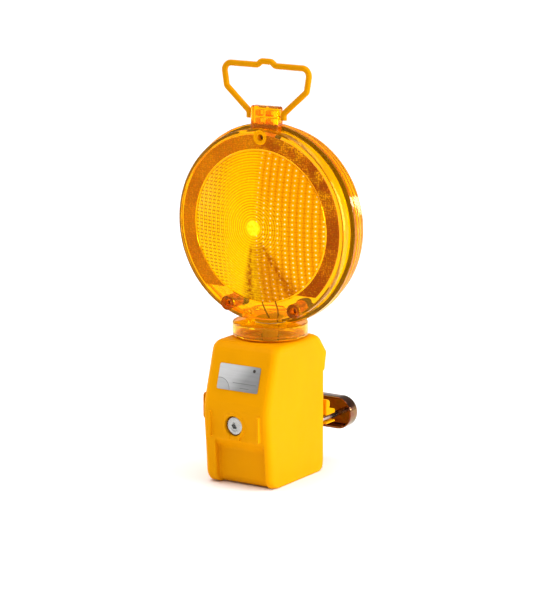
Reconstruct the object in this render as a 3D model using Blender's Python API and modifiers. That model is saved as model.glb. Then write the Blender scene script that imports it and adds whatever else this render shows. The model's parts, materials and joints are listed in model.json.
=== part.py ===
"""Barricade warning lamp: amber lamp head on a yellow battery housing, with a rear clamp.

Frame: +Z up, the front of the lamp faces -Y, X = 0 is the plane of symmetry, the swivel axis of the head is
X = Y = 0, and Z = 0 is the underside of the housing. Metres.
"""

from math import cos, pi, radians, sin, sqrt, tan

import bmesh
import bpy
from mathutils import Matrix, Vector

MM = 0.001
GAP = 0.3 * MM

# Housing
HALF_WIDTH = 38.1 * MM
HEIGHT = 140.0 * MM
WALL = 2.4 * MM
CORNER_RADIUS = 8.0 * MM
BACK_Y = 43.9 * MM
PANEL_Y = -54.5 * MM
PANEL_ROUND = 11.0 * MM
PANEL_FOOT_Y = PANEL_Y + PANEL_ROUND
PANEL_TOP = 35.0
BELLY_BOTTOM = 49.5
BELLY_Y = -64.4 * MM
RECESS_HALF_WIDTH = 32.4 * MM
BATTERY_BAY_Y = -41.3 * MM
FRONT_LINE = ((0, -60.0), (30, -62.3), (50, -64.2), (62, -65.3), (70, -65.8), (77, -65.7), (84, -64.6),
              (92, -62.2), (140, -47.8))
BACK_LINE = ((0, 43.9), (101.6, 43.9), (102.2, 46.3), (118.6, 49.4), (119.6, 49.3), (140, 33.0))
LEVELS = (0, 0.6, 2.4, 5.4, 9, 12, 30, 50, 62, 70, 77, 84, 92, 101.6, 102.2, 118.6, 119.6, 126, 131, 134.5,
          137.4, 139.2, 140)

# Battery, type 4R25
BATTERY_WIDTH = 66.6 * MM
BATTERY_FRONT_Y = -40.9 * MM
BATTERY_BOTTOM = 4.8 * MM
BATTERY_TOP = 104.0 * MM
CARRIER_BOTTOM = 118.0 * MM

# Clamp
BOLT_Z = 61.9 * MM
BOLT_FACE_Y = -64.2 * MM
BOLT_RADIUS = 4.0 * MM
BOLT_HEAD_RADIUS = 9.2 * MM
WELL_FLOOR_Y = -57.6 * MM
WELL_BACK_Y = -55.2 * MM
RIB_CENTRE = 1.0 * MM
RIB_SPREAD = 27.9 * MM
ROD_X = 33.0 * MM
ROD_Z = 50.6 * MM
ROD_RADIUS = 3.0 * MM
STIRRUP_Y = -46.4 * MM
STIRRUP_THICKNESS = 1.5 * MM
BAR_RIM_Y = 72.5 * MM
BAR_FLOOR_Y = 86.8 * MM
BAR_RADIUS = 16.2 * MM
BAR_WALL = 1.8 * MM

# Neck
NECK_RADIUS = 37.25 * MM
NECK_BOTTOM = 141.9 * MM
NECK_TOP = 155.0 * MM
BORE_RADIUS = 30.6 * MM

# Head
HEAD_Z = 251.7 * MM
FLANGE_RADIUS = 99.5 * MM
RIM_RADIUS = 95.3 * MM
RING_RADIUS = 90.5 * MM
OPTIC_RADIUS = 74.3 * MM
FACE_Y = 18.9 * MM
DOME_HEIGHT = 12.3 * MM
LENS_WALL = 2.6 * MM
HEAD_STEPS = 40
SCREW_PLACES = {"top": (0.0, 87.2 * MM), "left": (-38.2 * MM, -80.2 * MM), "right": (38.2 * MM, -80.2 * MM)}
RETRO_CHORD_Z = 188.0 * MM

# Handle
PIVOT_Y = -6.7 * MM
PIVOT_Z = 357.5 * MM
HANDLE_RADIUS = 3.0 * MM
BLOCK_HALF_WIDTH = 15.8 * MM
BLOCK_TOP = 368.6 * MM


# ---------------------------------------------------------------- scene and materials

for old in list(bpy.data.objects):
    bpy.data.objects.remove(old)

PARTS = bpy.data.collections.new("warning_lamp")
CUTTERS = bpy.data.collections.new("cutters")
for collection in (PARTS, CUTTERS):
    bpy.context.scene.collection.children.link(collection)


def material(name, colour, roughness, metallic=0.0, transmission=0.0):
    made = bpy.data.materials.new(name)
    made.use_nodes = True
    made.diffuse_color = (*colour, 1.0)
    shader = made.node_tree.nodes["Principled BSDF"]
    shader.inputs["Base Color"].default_value = (*colour, 1.0)
    shader.inputs["Roughness"].default_value = roughness
    shader.inputs["Metallic"].default_value = metallic
    shader.inputs["Transmission Weight"].default_value = transmission
    return made


YELLOW = material("yellow_abs", (0.90, 0.50, 0.0), 0.42)
AMBER = material("amber_polycarbonate", (1.0, 0.42, 0.0), 0.08, transmission=0.6)
RETRO = material("retroreflector", (0.75, 0.25, 0.0), 0.3)
BLACK = material("black_rubber", (0.02, 0.02, 0.02), 0.6)
ORANGE = material("orange_rubber", (0.62, 0.17, 0.0), 0.55)
STEEL = material("zinc_steel", (0.62, 0.61, 0.58), 0.3, metallic=1.0)
CHROMATE = material("yellow_chromate", (0.55, 0.36, 0.12), 0.15, metallic=1.0)
FOIL = material("label_foil", (0.72, 0.70, 0.70), 0.4, metallic=0.6)
BOARD = material("circuit_board", (0.02, 0.22, 0.07), 0.4)
CASE = material("battery_wrap", (0.12, 0.14, 0.18), 0.35)
COPPER = material("contact_brass", (0.75, 0.55, 0.25), 0.3, metallic=1.0)
CARRIER = material("natural_nylon", (0.75, 0.73, 0.66), 0.5)
LED_RESIN = material("led_resin", (0.95, 0.80, 0.35), 0.1, transmission=0.5)
RED_WIRE = material("red_wire", (0.35, 0.03, 0.02), 0.45)
DARK_WIRE = material("dark_wire", (0.03, 0.02, 0.02), 0.45)


# ---------------------------------------------------------------- modelling helpers


def place(name, mesh, finish, cutter=False):
    made = bpy.data.objects.new(name, mesh)
    if cutter:
        made.hide_render = True
        made.display_type = "WIRE"
        CUTTERS.objects.link(made)
    else:
        made.data.materials.append(finish)
        PARTS.objects.link(made)
    return made


def mesh_from(bm, name, smooth=False):
    bmesh.ops.recalc_face_normals(bm, faces=bm.faces)
    mesh = bpy.data.meshes.new(name)
    bm.to_mesh(mesh)
    bm.free()
    if smooth:
        mesh.shade_smooth()
        mesh.set_sharp_from_angle(angle=radians(35))
    return mesh


def box(name, low, high, finish=None, bevel=0.0, segments=2):
    """A box between two corners; without a finish it is a cutter."""
    low, high = Vector(low), Vector(high)
    bm = bmesh.new()
    bmesh.ops.create_cube(bm, size=1.0)
    bmesh.ops.scale(bm, vec=high - low, verts=bm.verts)
    bmesh.ops.translate(bm, vec=(low + high) / 2, verts=bm.verts)
    if bevel:
        bmesh.ops.bevel(bm, geom=bm.edges, offset=bevel, segments=segments, profile=0.5, affect="EDGES")
    return place(name, mesh_from(bm, name), finish, cutter=finish is None)


AXES = {"X": Matrix.Rotation(pi / 2, 4, "Y"), "Y": Matrix.Rotation(-pi / 2, 4, "X"), "Z": Matrix.Identity(4)}


def cylinder(name, start, length, radius, axis="Z", finish=None, sides=24, end_radius=None):
    """A cylinder or cone from its start point along +axis; without a finish it is a cutter."""
    bm = bmesh.new()
    bmesh.ops.create_cone(bm, cap_ends=True, segments=sides, radius1=radius,
                          radius2=radius if end_radius is None else end_radius, depth=length)
    bmesh.ops.translate(bm, vec=(0, 0, length / 2), verts=bm.verts)
    bmesh.ops.transform(bm, matrix=Matrix.Translation(start) @ AXES[axis], verts=bm.verts)
    return place(name, mesh_from(bm, name, smooth=True), finish, cutter=finish is None)


def turned(name, profile, finish, steps, axis="Z", centre=(0, 0, 0)):
    """A closed profile of (radius, height) points turned about an axis: Z, or the head's axis (height = -Y)."""
    bm = bmesh.new()
    corners = [bm.verts.new((radius, 0, height)) for radius, height in profile]
    for start, end in zip(corners, corners[1:]):
        bm.edges.new((start, end))
    if profile[0][0] > 0:
        bm.edges.new((corners[-1], corners[0]))
    mesh = bpy.data.meshes.new(name)
    bm.to_mesh(mesh)
    bm.free()
    made = place(name, mesh, finish, cutter=finish is None)
    screw = made.modifiers.new("turn", "SCREW")
    screw.steps = screw.render_steps = steps
    screw.use_merge_vertices = True
    screw.merge_threshold = 0.00001
    screw.use_smooth_shade = True
    made.location = centre
    if axis == "HEAD":
        made.rotation_euler = (pi / 2, 0, 0)
    return made


def loft(name, rings, finish):
    """A closed solid through rings of equal point counts, capped at both ends."""
    bm = bmesh.new()
    rows = [[bm.verts.new(point) for point in ring] for ring in rings]
    count = len(rows[0])
    for lower, upper in zip(rows, rows[1:]):
        for i in range(count):
            j = (i + 1) % count
            bm.faces.new((lower[i], lower[j], upper[j], upper[i]))
    bm.faces.new(rows[0][::-1])
    bm.faces.new(rows[-1])
    return place(name, mesh_from(bm, name, smooth=True), finish, cutter=finish is None)


def as_mesh(curve_object):
    """The curve object turned into a mesh object with welded caps."""
    graph = bpy.context.evaluated_depsgraph_get()
    mesh = bpy.data.meshes.new_from_object(curve_object.evaluated_get(graph))
    bm = bmesh.new()
    bm.from_mesh(mesh)
    bmesh.ops.remove_doubles(bm, verts=bm.verts, dist=0.000001)
    bmesh.ops.recalc_face_normals(bm, faces=bm.faces)
    bm.to_mesh(mesh)
    bm.free()
    name = curve_object.name
    collection = curve_object.users_collection[0]
    made = bpy.data.objects.new(name + "_solid", mesh)
    made.matrix_world = curve_object.matrix_world.copy()
    made.hide_render = curve_object.hide_render
    made.display_type = curve_object.display_type
    collection.objects.link(made)
    bpy.data.objects.remove(curve_object)
    made.name = name
    return made


def tube(name, points, radius, finish, resolution=2):
    """A round wire or bar along a list of points."""
    curve = bpy.data.curves.new(name, "CURVE")
    curve.dimensions = "3D"
    curve.bevel_depth = radius
    curve.bevel_resolution = resolution
    curve.use_fill_caps = True
    spline = curve.splines.new("POLY")
    spline.points.add(len(points) - 1)
    for target, point in zip(spline.points, points):
        target.co = (*point, 1.0)
    return place(name, curve, finish)


def plate(name, outline, half_thickness, finish, centre, rotation):
    """A flat outline extruded to both sides of its own plane."""
    curve = bpy.data.curves.new(name, "CURVE")
    curve.dimensions = "2D"
    curve.fill_mode = "BOTH"
    curve.extrude = half_thickness
    spline = curve.splines.new("POLY")
    spline.points.add(len(outline) - 1)
    for target, (x, y) in zip(spline.points, outline):
        target.co = (x, y, 0.0, 1.0)
    spline.use_cyclic_u = True
    made = place(name, curve, finish, cutter=finish is None)
    made.location = centre
    made.rotation_euler = rotation
    bpy.context.view_layer.update()
    return as_mesh(made)


def boolean(target, other, operation):
    modifier = target.modifiers.new(operation.lower() + "_" + other.name, "BOOLEAN")
    modifier.operation = operation
    modifier.object = other


def cut(target, *cutters):
    for cutter in cutters:
        boolean(target, cutter, "DIFFERENCE")


def join(target, *pieces):
    for piece in pieces:
        boolean(target, piece, "UNION")


def between(table, z):
    """Linear interpolation in a table of (height, value), all in millimetres."""
    for (z0, v0), (z1, v1) in zip(table, table[1:]):
        if z <= z1:
            return v0 + (v1 - v0) * (z - z0) / (z1 - z0)
    return table[-1][1]


def rounding(distance, radius):
    """How far a rounded edge stands back at this distance from its end."""
    if distance >= radius:
        return 0.0
    return radius - sqrt(radius**2 - (radius - distance) ** 2)


def rounded_rectangle(half_x, y_min, y_max, radius, z, steps=4):
    points = []
    centres = ((half_x - radius, y_max - radius), (radius - half_x, y_max - radius),
               (radius - half_x, y_min + radius), (half_x - radius, y_min + radius))
    for quarter, (x, y) in enumerate(centres):
        for step in range(steps + 1):
            angle = (quarter + step / steps) * pi / 2
            points.append((x + radius * cos(angle), y + radius * sin(angle), z))
    return points


def arc(centre, radius, start, end, steps):
    """Points (x, y) on an arc, angles in degrees."""
    angles = [radians(start + (end - start) * i / steps) for i in range(steps + 1)]
    return [(centre[0] + radius * cos(a), centre[1] + radius * sin(a)) for a in angles]


def fillet(points, radii, steps=4):
    """A flat path through corner points, each inner corner rounded to its radius."""
    path = [points[0]]
    for before, corner, after, radius in zip(points, points[1:], points[2:], radii):
        into = (Vector(before) - Vector(corner)).normalized()
        out = (Vector(after) - Vector(corner)).normalized()
        half_angle = into.angle(out) / 2
        middle = Vector(corner) + (into + out).normalized() * radius / sin(half_angle)
        start = Vector(corner) + into * radius / tan(half_angle) - middle
        end = Vector(corner) + out * radius / tan(half_angle) - middle
        path += [tuple(middle + start.slerp(end, i / steps) * radius) for i in range(steps + 1)]
    return path + [points[-1]]


# ---------------------------------------------------------------- housing


def housing_section(z, inset=0.0, front_limit=None):
    """The housing's outline at a height in millimetres, stood in by inset (metres)."""
    top = HEIGHT / MM - z
    half = HALF_WIDTH - (rounding(z, 0.6) + rounding(top, 6)) * MM - inset
    front = (between(FRONT_LINE, z) + rounding(z, 12) + rounding(top, 9)) * MM + inset
    back = (between(BACK_LINE, z) - rounding(z, 8) - rounding(top, 4)) * MM - inset
    if front_limit is not None:
        front = max(front, front_limit)
    radius = max(CORNER_RADIUS - inset, 1.0 * MM)
    return rounded_rectangle(half, front, back, radius, z * MM)


def panel_front(z, inset=0.0):
    """How far forward the recessed panel stands at a height in millimetres, stood in by inset (metres)."""
    if z <= PANEL_ROUND / MM:
        height = PANEL_ROUND - max(z, 0) * MM
        return PANEL_FOOT_Y - sqrt(max((PANEL_ROUND - inset) ** 2 - height**2, 0))
    share = min(max((z - PANEL_TOP) / (BELLY_BOTTOM - PANEL_TOP), 0), 1)
    return PANEL_Y + (BELLY_Y - PANEL_Y) * (1 - cos(pi * share)) / 2 + inset


def front_recess():
    """Shallow scoop in the lower front: a panel with a rounded foot that runs out into the belly at its top."""
    levels = [-10, 0, 0.25, 0.8, 1.8, 3.2, 5.2, 7.8, PANEL_ROUND / MM, PANEL_TOP]
    levels += [PANEL_TOP + step * 1.8 for step in range(1, 8)] + [BELLY_BOTTOM]
    half = RECESS_HALF_WIDTH
    rings = [[(half, -80 * MM, z * MM), (half, panel_front(z), z * MM), (-half, panel_front(z), z * MM),
              (-half, -80 * MM, z * MM)] for z in levels]
    return loft("front_recess", rings, None)


def cavity_front():
    """The hollow of the belly, from behind the recessed panel to under the roof."""
    roof = (HEIGHT - WALL) / MM
    levels = [6.5, 7.6, 9.2, 11, 30, 35, 38, 41, 44, 47, 49.5] + [z for z in LEVELS if 49.5 < z < roof] + [roof]
    rings = []
    for z in levels:
        ring = housing_section(z + WALL / MM if z > 120 else z, WALL, panel_front(z, WALL) if z < 49 else None)
        rings.append([(x, min(y, -10 * MM), z * MM) for x, y, _ in ring])
    return loft("cavity_front", rings, None)


def make_housing():
    shell = loft("housing_shell", [housing_section(z) for z in LEVELS], YELLOW)
    inner = HALF_WIDTH - WALL
    box_rings = [rounded_rectangle(half, BATTERY_BAY_Y, back, 2.0 * MM, z) for half, back, z in (
        (inner, BACK_Y - WALL, -5.0 * MM), (inner, BACK_Y - WALL, 121.0 * MM), (33.0 * MM, 31.5 * MM, HEIGHT - WALL))]
    cut(shell, loft("cavity_battery", box_rings, None), cavity_front())
    well = cylinder("bolt_well", (0, -68.4 * MM, BOLT_Z), 68.4 * MM + WELL_BACK_Y, 12.6 * MM, "Y", sides=36)
    lip_legs = box("bolt_lip_legs", (-7.0 * MM, -68.4 * MM, 47.6 * MM), (7.0 * MM, -62.6 * MM, BOLT_Z))
    well_bore = cylinder("bolt_well_bore", (0, -75 * MM, BOLT_Z), 75 * MM + WELL_FLOOR_Y, 10.1 * MM, "Y", sides=36)
    well_slot = box("bolt_well_slot", (-4.6 * MM, -75 * MM, 40 * MM), (4.6 * MM, -64.9 * MM, BOLT_Z))
    bolt_hole = cylinder("bolt_hole", (0, -60 * MM, BOLT_Z), 8 * MM, 4.5 * MM, "Y")
    cut(shell, front_recess())
    join(shell, well, lip_legs)
    for side in (-1, 1):
        middle = RIB_CENTRE + side * RIB_SPREAD
        join(shell, box(f"front_rib_{side}", (middle - 1.1 * MM, -67.8 * MM, 49.2 * MM),
                        (middle + 1.1 * MM, -63.2 * MM, 74.0 * MM), bevel=0.6 * MM, segments=1))
        cut(shell, cylinder(f"rod_hole_{side}", (side * ROD_X, 28 * MM, ROD_Z), 20 * MM, 3.4 * MM, "Y", sides=20))
    cut(shell, well_bore, well_slot, bolt_hole)
    cut(shell, cylinder("neck_bore", (0, 0, 130 * MM), 20 * MM, BORE_RADIUS, sides=48))
    cut(shell, box("cover_groove", (-36.9 * MM, -42.5 * MM, 1.2 * MM), (36.9 * MM, 60 * MM, 4.2 * MM)))
    cut(shell, cylinder("button_hole", (-45 * MM, -51 * MM, 76 * MM), 12 * MM, 3.9 * MM, "X"))
    return shell


def make_cover():
    """The battery cover slides out to the rear in grooves of the side walls."""
    tongue = [rounded_rectangle(36.6 * MM, -42.1 * MM, BACK_Y + 0.9 * MM, 7.5 * MM, z * MM)
              for z in (1.5, 3.9)]
    cover = loft("battery_cover", tongue, YELLOW)
    floor = [rounded_rectangle(35.3 * MM, -40.9 * MM, back * MM, 4.0 * MM, z * MM)
             for z, back in ((0, 36.0), (0.8, 40.0), (2.4, 43.0))]
    join(cover, loft("cover_floor", floor, None))
    grip = box("cover_grip", (-14 * MM, BACK_Y + 0.3 * MM, 0.3 * MM), (14 * MM, BACK_Y + 3.8 * MM, 6.5 * MM),
               bevel=0.9 * MM)
    join(cover, grip)
    for i in range(-2, 3):
        middle = i * 6.0 * MM
        cut(cover, box(f"grip_groove_{i}", (middle - 1.0 * MM, BACK_Y + 3.1 * MM, -1 * MM),
                       (middle + 1.0 * MM, BACK_Y + 6 * MM, 8 * MM)))
    return cover


def make_saddle():
    """Back plate with a fork on each side that guides a clamp rod in a slot open to the side."""
    saddle = box("rear_saddle", (-30 * MM, BACK_Y + GAP, 38 * MM), (30 * MM, BACK_Y + GAP + 1.6 * MM, 72 * MM), YELLOW)
    low_y = BACK_Y + GAP
    outline = [(low_y, 45.2 * MM), (61.0 * MM, 45.2 * MM), (61.0 * MM, 58.2 * MM), (53.0 * MM, 60.6 * MM)]
    horn = arc((46.2 * MM, 65.2 * MM), 5.2 * MM, -50, 90, 8)
    outline += horn + [(low_y, 70.4 * MM)]
    for side in (-1, 1):
        fork = plate(f"fork_{side}", outline, 5.7 * MM, None, (side * 32.1 * MM, 0, 0), (pi / 2, 0, pi / 2))
        slot_x = (29.0 * MM, 45 * MM) if side > 0 else (-45 * MM, -29.0 * MM)
        slot = box(f"fork_slot_{side}", (slot_x[0], 40 * MM, ROD_Z - 3.5 * MM), (slot_x[1], 70 * MM, ROD_Z + 3.5 * MM))
        join(saddle, fork)
        cut(saddle, slot)
    return saddle


def make_label():
    """Blank foil plate on the sloping front."""
    low, high = 96.1, 120.3
    bottom = Vector((0, between(FRONT_LINE, low) * MM, low * MM))
    top = Vector((0, between(FRONT_LINE, high) * MM, high * MM))
    slope = top - bottom
    lean = slope.angle(Vector((0, 0, 1)))
    half_height = slope.length / 2
    outline = [point[:2] for point in rounded_rectangle(23.4 * MM, -half_height, half_height, 1.6 * MM, 0)]
    outward = Vector((0, -cos(lean), sin(lean)))
    centre = (top + bottom) / 2 + outward * (GAP + 0.25 * MM) + Vector((RIB_CENTRE, 0, 0))
    return plate("label_plate", outline, 0.25 * MM, FOIL, centre, (pi / 2 - lean, 0, 0))


def make_button():
    """Mode button on the left side: a rocker cap on a stem that presses the switch inside."""
    outline = []
    for quarter, (x, y) in enumerate(((5, 10), (-5, 10), (-5, -10), (5, -10))):
        outline += arc((x * MM, y * MM), 3.0 * MM, quarter * 90, quarter * 90 + 90, 4)
    cap = plate("mode_button", outline, 0.6 * MM, YELLOW, (-39.8 * MM, -51 * MM, 76 * MM), (pi / 2, 0, -pi / 2))
    join(cap, cylinder("button_stem", (-39.6 * MM, -51 * MM, 76 * MM), 6.8 * MM, 3.5 * MM, "X"))
    box("switch_body", (-31.8 * MM, -58 * MM, 67 * MM), (-25 * MM, -44.5 * MM, 85 * MM), BLACK, bevel=0.6 * MM)


# ---------------------------------------------------------------- battery and contacts


def spring(name, x, y, turns, start_radius, end_radius):
    bottom = BATTERY_TOP + GAP + 0.6 * MM
    height = CARRIER_BOTTOM - 1.6 * MM - bottom - 0.6 * MM
    points = []
    count = turns * 10
    for i in range(count + 1):
        share = i / count
        radius = start_radius + (end_radius - start_radius) * share
        angle = 2 * pi * turns * share
        points.append((x + radius * cos(angle), y + radius * sin(angle), bottom + height * share))
    return tube(name, points, 0.5 * MM, STEEL, resolution=1)


def make_battery():
    half = BATTERY_WIDTH / 2
    middle_y = BATTERY_FRONT_Y + half
    levels = ((0, 1.0), (1.0, 0), (98.2, 0), (99.2, 1.0))
    rings = [rounded_rectangle(half - inset * MM, BATTERY_FRONT_Y + inset * MM, BATTERY_FRONT_Y + 2 * half - inset * MM,
                               5.0 * MM, BATTERY_BOTTOM + height * MM) for height, inset in levels]
    loft("battery_case", rings, CASE)
    spring("battery_spring_centre", 0, middle_y, 4, 8.0 * MM, 3.0 * MM)
    spring("battery_spring_corner", 21 * MM, middle_y + 21 * MM, 4, 6.5 * MM, 2.6 * MM)
    for name, x, y in (("contact_centre", 0, middle_y), ("contact_corner", 21 * MM, middle_y + 21 * MM)):
        box(name, (x - 7 * MM, y - 7 * MM, CARRIER_BOTTOM - 1.1 * MM), (x + 7 * MM, y + 7 * MM, CARRIER_BOTTOM - GAP),
            COPPER)
    carrier = box("contact_carrier", (-34 * MM, -38 * MM, CARRIER_BOTTOM), (34 * MM, 37 * MM, CARRIER_BOTTOM + 3 * MM),
                  CARRIER, bevel=0.8 * MM, segments=1)
    for x in (-28 * MM, 28 * MM):
        for y in (-30 * MM, 26 * MM):
            post = cylinder(f"carrier_post_{x:.3f}_{y:.3f}", (x, y, CARRIER_BOTTOM + 1 * MM), 18.1 * MM, 3.0 * MM,
                            sides=12)
            join(carrier, post)
    column = cylinder("slip_contact_lower", (0, 0, CARRIER_BOTTOM + 3 * MM + GAP), 28.9 * MM, 7.5 * MM, "Z", CARRIER,
                      sides=20)
    top = CARRIER_BOTTOM + 3 * MM
    for side, name, finish in ((-1, "battery_lead_1", RED_WIRE), (1, "battery_lead_2", DARK_WIRE)):
        points = [(side * 20 * MM, -8 * MM, top + 0.3 * MM), (side * 20 * MM, -8 * MM, top + 3 * MM),
                  (side * 18.5 * MM, -7.5 * MM, top + 5.5 * MM), (side * 15 * MM, -6 * MM, top + 7 * MM),
                  (side * 11.5 * MM, -3 * MM, top + 9 * MM), (side * 9.4 * MM, 0, top + 12 * MM),
                  (side * 9.2 * MM, 0, top + 20 * MM)]
        tube(name, points, 0.9 * MM, finish)
    return column


# ---------------------------------------------------------------- clamp


def hexagon(radius):
    return [(radius * cos(pi / 3 * i), radius * sin(pi / 3 * i)) for i in range(6)]


def make_bolt():
    """Hex-socket clamp bolt: it turns in the housing and draws the stirrup forward."""
    head = 4.8 * MM
    profile = [(0, -BOLT_FACE_Y), (BOLT_HEAD_RADIUS - 0.8 * MM, -BOLT_FACE_Y),
               (BOLT_HEAD_RADIUS, -BOLT_FACE_Y - 0.8 * MM), (BOLT_HEAD_RADIUS, -BOLT_FACE_Y - head),
               (BOLT_RADIUS, -BOLT_FACE_Y - head), (BOLT_RADIUS, 55.0 * MM), (3.4 * MM, 55.0 * MM),
               (3.4 * MM, 53.9 * MM), (BOLT_RADIUS, 53.9 * MM), (BOLT_RADIUS, 42.0 * MM), (0, 41.4 * MM)]
    bolt = turned("clamp_bolt", profile, STEEL, 36, "HEAD", (0, 0, BOLT_Z))
    socket = plate("bolt_socket", hexagon(3.6 * MM), 3.0 * MM, None, (0, BOLT_FACE_Y, BOLT_Z), (pi / 2, 0, 0))
    cut(bolt, socket)
    washer = [(9.6 * MM, 59.1 * MM), (9.6 * MM, 57.9 * MM), (4.4 * MM, 57.9 * MM), (4.4 * MM, 59.1 * MM)]
    turned("bolt_washer", washer, STEEL, 32, "HEAD", (0, 0, BOLT_Z))
    clip = [(6.2 * MM, 54.8 * MM), (6.2 * MM, 54.1 * MM), (3.7 * MM, 54.1 * MM), (3.7 * MM, 54.8 * MM)]
    ring = turned("bolt_clip", clip, STEEL, 24, "HEAD", (0, 0, BOLT_Z))
    cut(ring, box("clip_gap", (-1.5 * MM, -56 * MM, BOLT_Z - 8 * MM), (1.5 * MM, -53 * MM, BOLT_Z - 2 * MM)))


def make_stirrup():
    """Flat steel frame round the battery: a threaded cross-piece in front, two straps, two tabs behind."""
    outer = 35.2 * MM
    inner = outer - STIRRUP_THICKNESS
    low, high = 48.6 * MM, 62.6 * MM
    tab_y = 35.5 * MM
    stirrup = box("clamp_stirrup", (-outer, STIRRUP_Y - 1.5 * MM, low), (outer, STIRRUP_Y + 1.5 * MM, high), STEEL)
    boss = cylinder("stirrup_boss", (0, STIRRUP_Y - 1.5 * MM, BOLT_Z), 3.0 * MM, 10.0 * MM, "Y", sides=28)
    join(stirrup, boss)
    for side in (-1, 1):
        strap_x = sorted((side * inner, side * outer))
        tab_x = sorted((side * 28.4 * MM, side * outer))
        join(stirrup, box(f"strap_{side}", (strap_x[0], STIRRUP_Y, low), (strap_x[1], tab_y + 1.5 * MM, high)))
        join(stirrup, box(f"strap_tab_{side}", (tab_x[0], tab_y, 44.6 * MM), (tab_x[1], tab_y + 1.5 * MM, high)))
    cut(stirrup, cylinder("stirrup_thread", (0, -60 * MM, BOLT_Z), 30 * MM, 4.4 * MM, "Y"))
    for side, name in ((-1, "left"), (1, "right")):
        x = side * ROD_X
        start = tab_y + 1.5 * MM + GAP
        cylinder(f"clamp_rod_{name}", (x, start, ROD_Z), 97.6 * MM - start, ROD_RADIUS, "Y", CHROMATE, sides=16)
        back = BAR_FLOOR_Y + BAR_WALL
        washer = [(6.0 * MM, -back - GAP), (6.0 * MM, -back - GAP - 1.4 * MM), (3.3 * MM, -back - GAP - 1.4 * MM),
                  (3.3 * MM, -back - GAP)]
        turned(f"rod_washer_{name}", washer, CHROMATE, 24, "HEAD", (x, 0, ROD_Z))
        nut = plate(f"rod_nut_{name}", hexagon(5.8 * MM), 2.5 * MM, CHROMATE, (x, back + 4.5 * MM + GAP, ROD_Z),
                    (pi / 2, 0, 0))
        cut(nut, cylinder(f"nut_thread_{name}", (x, 80 * MM, ROD_Z), 30 * MM, 3.3 * MM, "Y", sides=16))


def stadium(inset, y, steps=7):
    """Oblong ring in the X-Z plane, stood in by inset."""
    radius = BAR_RADIUS - inset
    right = arc((ROD_X, ROD_Z), radius, 90, -90, 2 * steps)
    left = arc((-ROD_X, ROD_Z), radius, -90, -270, 2 * steps)
    return [(x, y, z) for x, z in right + left]


def make_clamp_bar():
    """Pressed oblong cup, open towards the housing, that closes on the post from behind."""
    floor = BAR_FLOOR_Y
    back = floor + BAR_WALL
    steps = [(BAR_WALL + 2.6 * MM, floor), (BAR_WALL + 0.8 * MM, floor - 0.8 * MM), (BAR_WALL, floor - 2.6 * MM),
             (BAR_WALL, BAR_RIM_Y), (0, BAR_RIM_Y), (0, floor - 3.0 * MM), (0.7 * MM, floor - 0.8 * MM),
             (2.4 * MM, back - 0.6 * MM), (4.8 * MM, back)]
    bar = loft("clamp_bar", [stadium(inset, y) for inset, y in steps], CHROMATE)
    for side in (-1, 1):
        cut(bar, cylinder(f"bar_hole_{side}", (side * ROD_X, 80 * MM, ROD_Z), 20 * MM, 3.35 * MM, "Y", sides=16))


# ---------------------------------------------------------------- neck


def make_neck():
    collar = [(NECK_RADIUS, NECK_TOP), (NECK_RADIUS, NECK_BOTTOM), (30.2 * MM, NECK_BOTTOM), (30.2 * MM, 135.9 * MM),
              (28.8 * MM, 135.9 * MM), (28.8 * MM, 133.7 * MM), (30.2 * MM, 133.7 * MM), (30.2 * MM, 132.0 * MM),
              (27.0 * MM, 132.0 * MM), (27.0 * MM, 144.2 * MM), (34.6 * MM, 144.2 * MM), (34.6 * MM, 152.6 * MM),
              (16.0 * MM, 152.6 * MM), (16.0 * MM, NECK_TOP)]
    turned("neck_collar", collar, AMBER, 40)
    minor = 0.7 * MM
    seal = [(33.6 * MM + minor * cos(a * pi / 4), 140.95 * MM - minor * sin(a * pi / 4)) for a in range(8)]
    turned("neck_seal", seal, ORANGE, 40)
    clip = [(32.4 * MM, 135.6 * MM), (32.4 * MM, 134.0 * MM), (29.2 * MM, 134.0 * MM), (29.2 * MM, 135.6 * MM)]
    ring = turned("neck_clip", clip, STEEL, 36)
    cut(ring, box("neck_clip_gap", (-5 * MM, 20 * MM, 130 * MM), (5 * MM, 40 * MM, 140 * MM)))
    plug = [(0, 156.4 * MM), (12 * MM, 156.4 * MM), (15.4 * MM, 155.2 * MM), (15.4 * MM, 150.8 * MM),
            (0, 150.8 * MM)]
    turned("slip_contact_upper", plug, CARRIER, 28)


# ---------------------------------------------------------------- head


def dome(radius, top, base, steps=6):
    """Profile of a shallow dome from its apex to its edge."""
    height = top - base
    sphere = (radius**2 + height**2) / (2 * height)
    points = []
    for i in range(steps + 1):
        r = radius * i / steps
        points.append((r, top - sphere + sqrt(sphere**2 - r**2)))
    return points


def head_openings(name):
    """Cutters for the flat seat on the neck and for the wire passage behind it."""
    seat = box(f"{name}_seat", (-60 * MM, -60 * MM, 120 * MM), (60 * MM, 60 * MM, NECK_TOP + GAP))
    passage = box(f"{name}_passage", (-23 * MM, -13.5 * MM, 140 * MM), (23 * MM, 13.5 * MM, 166 * MM))
    return seat, passage


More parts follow.
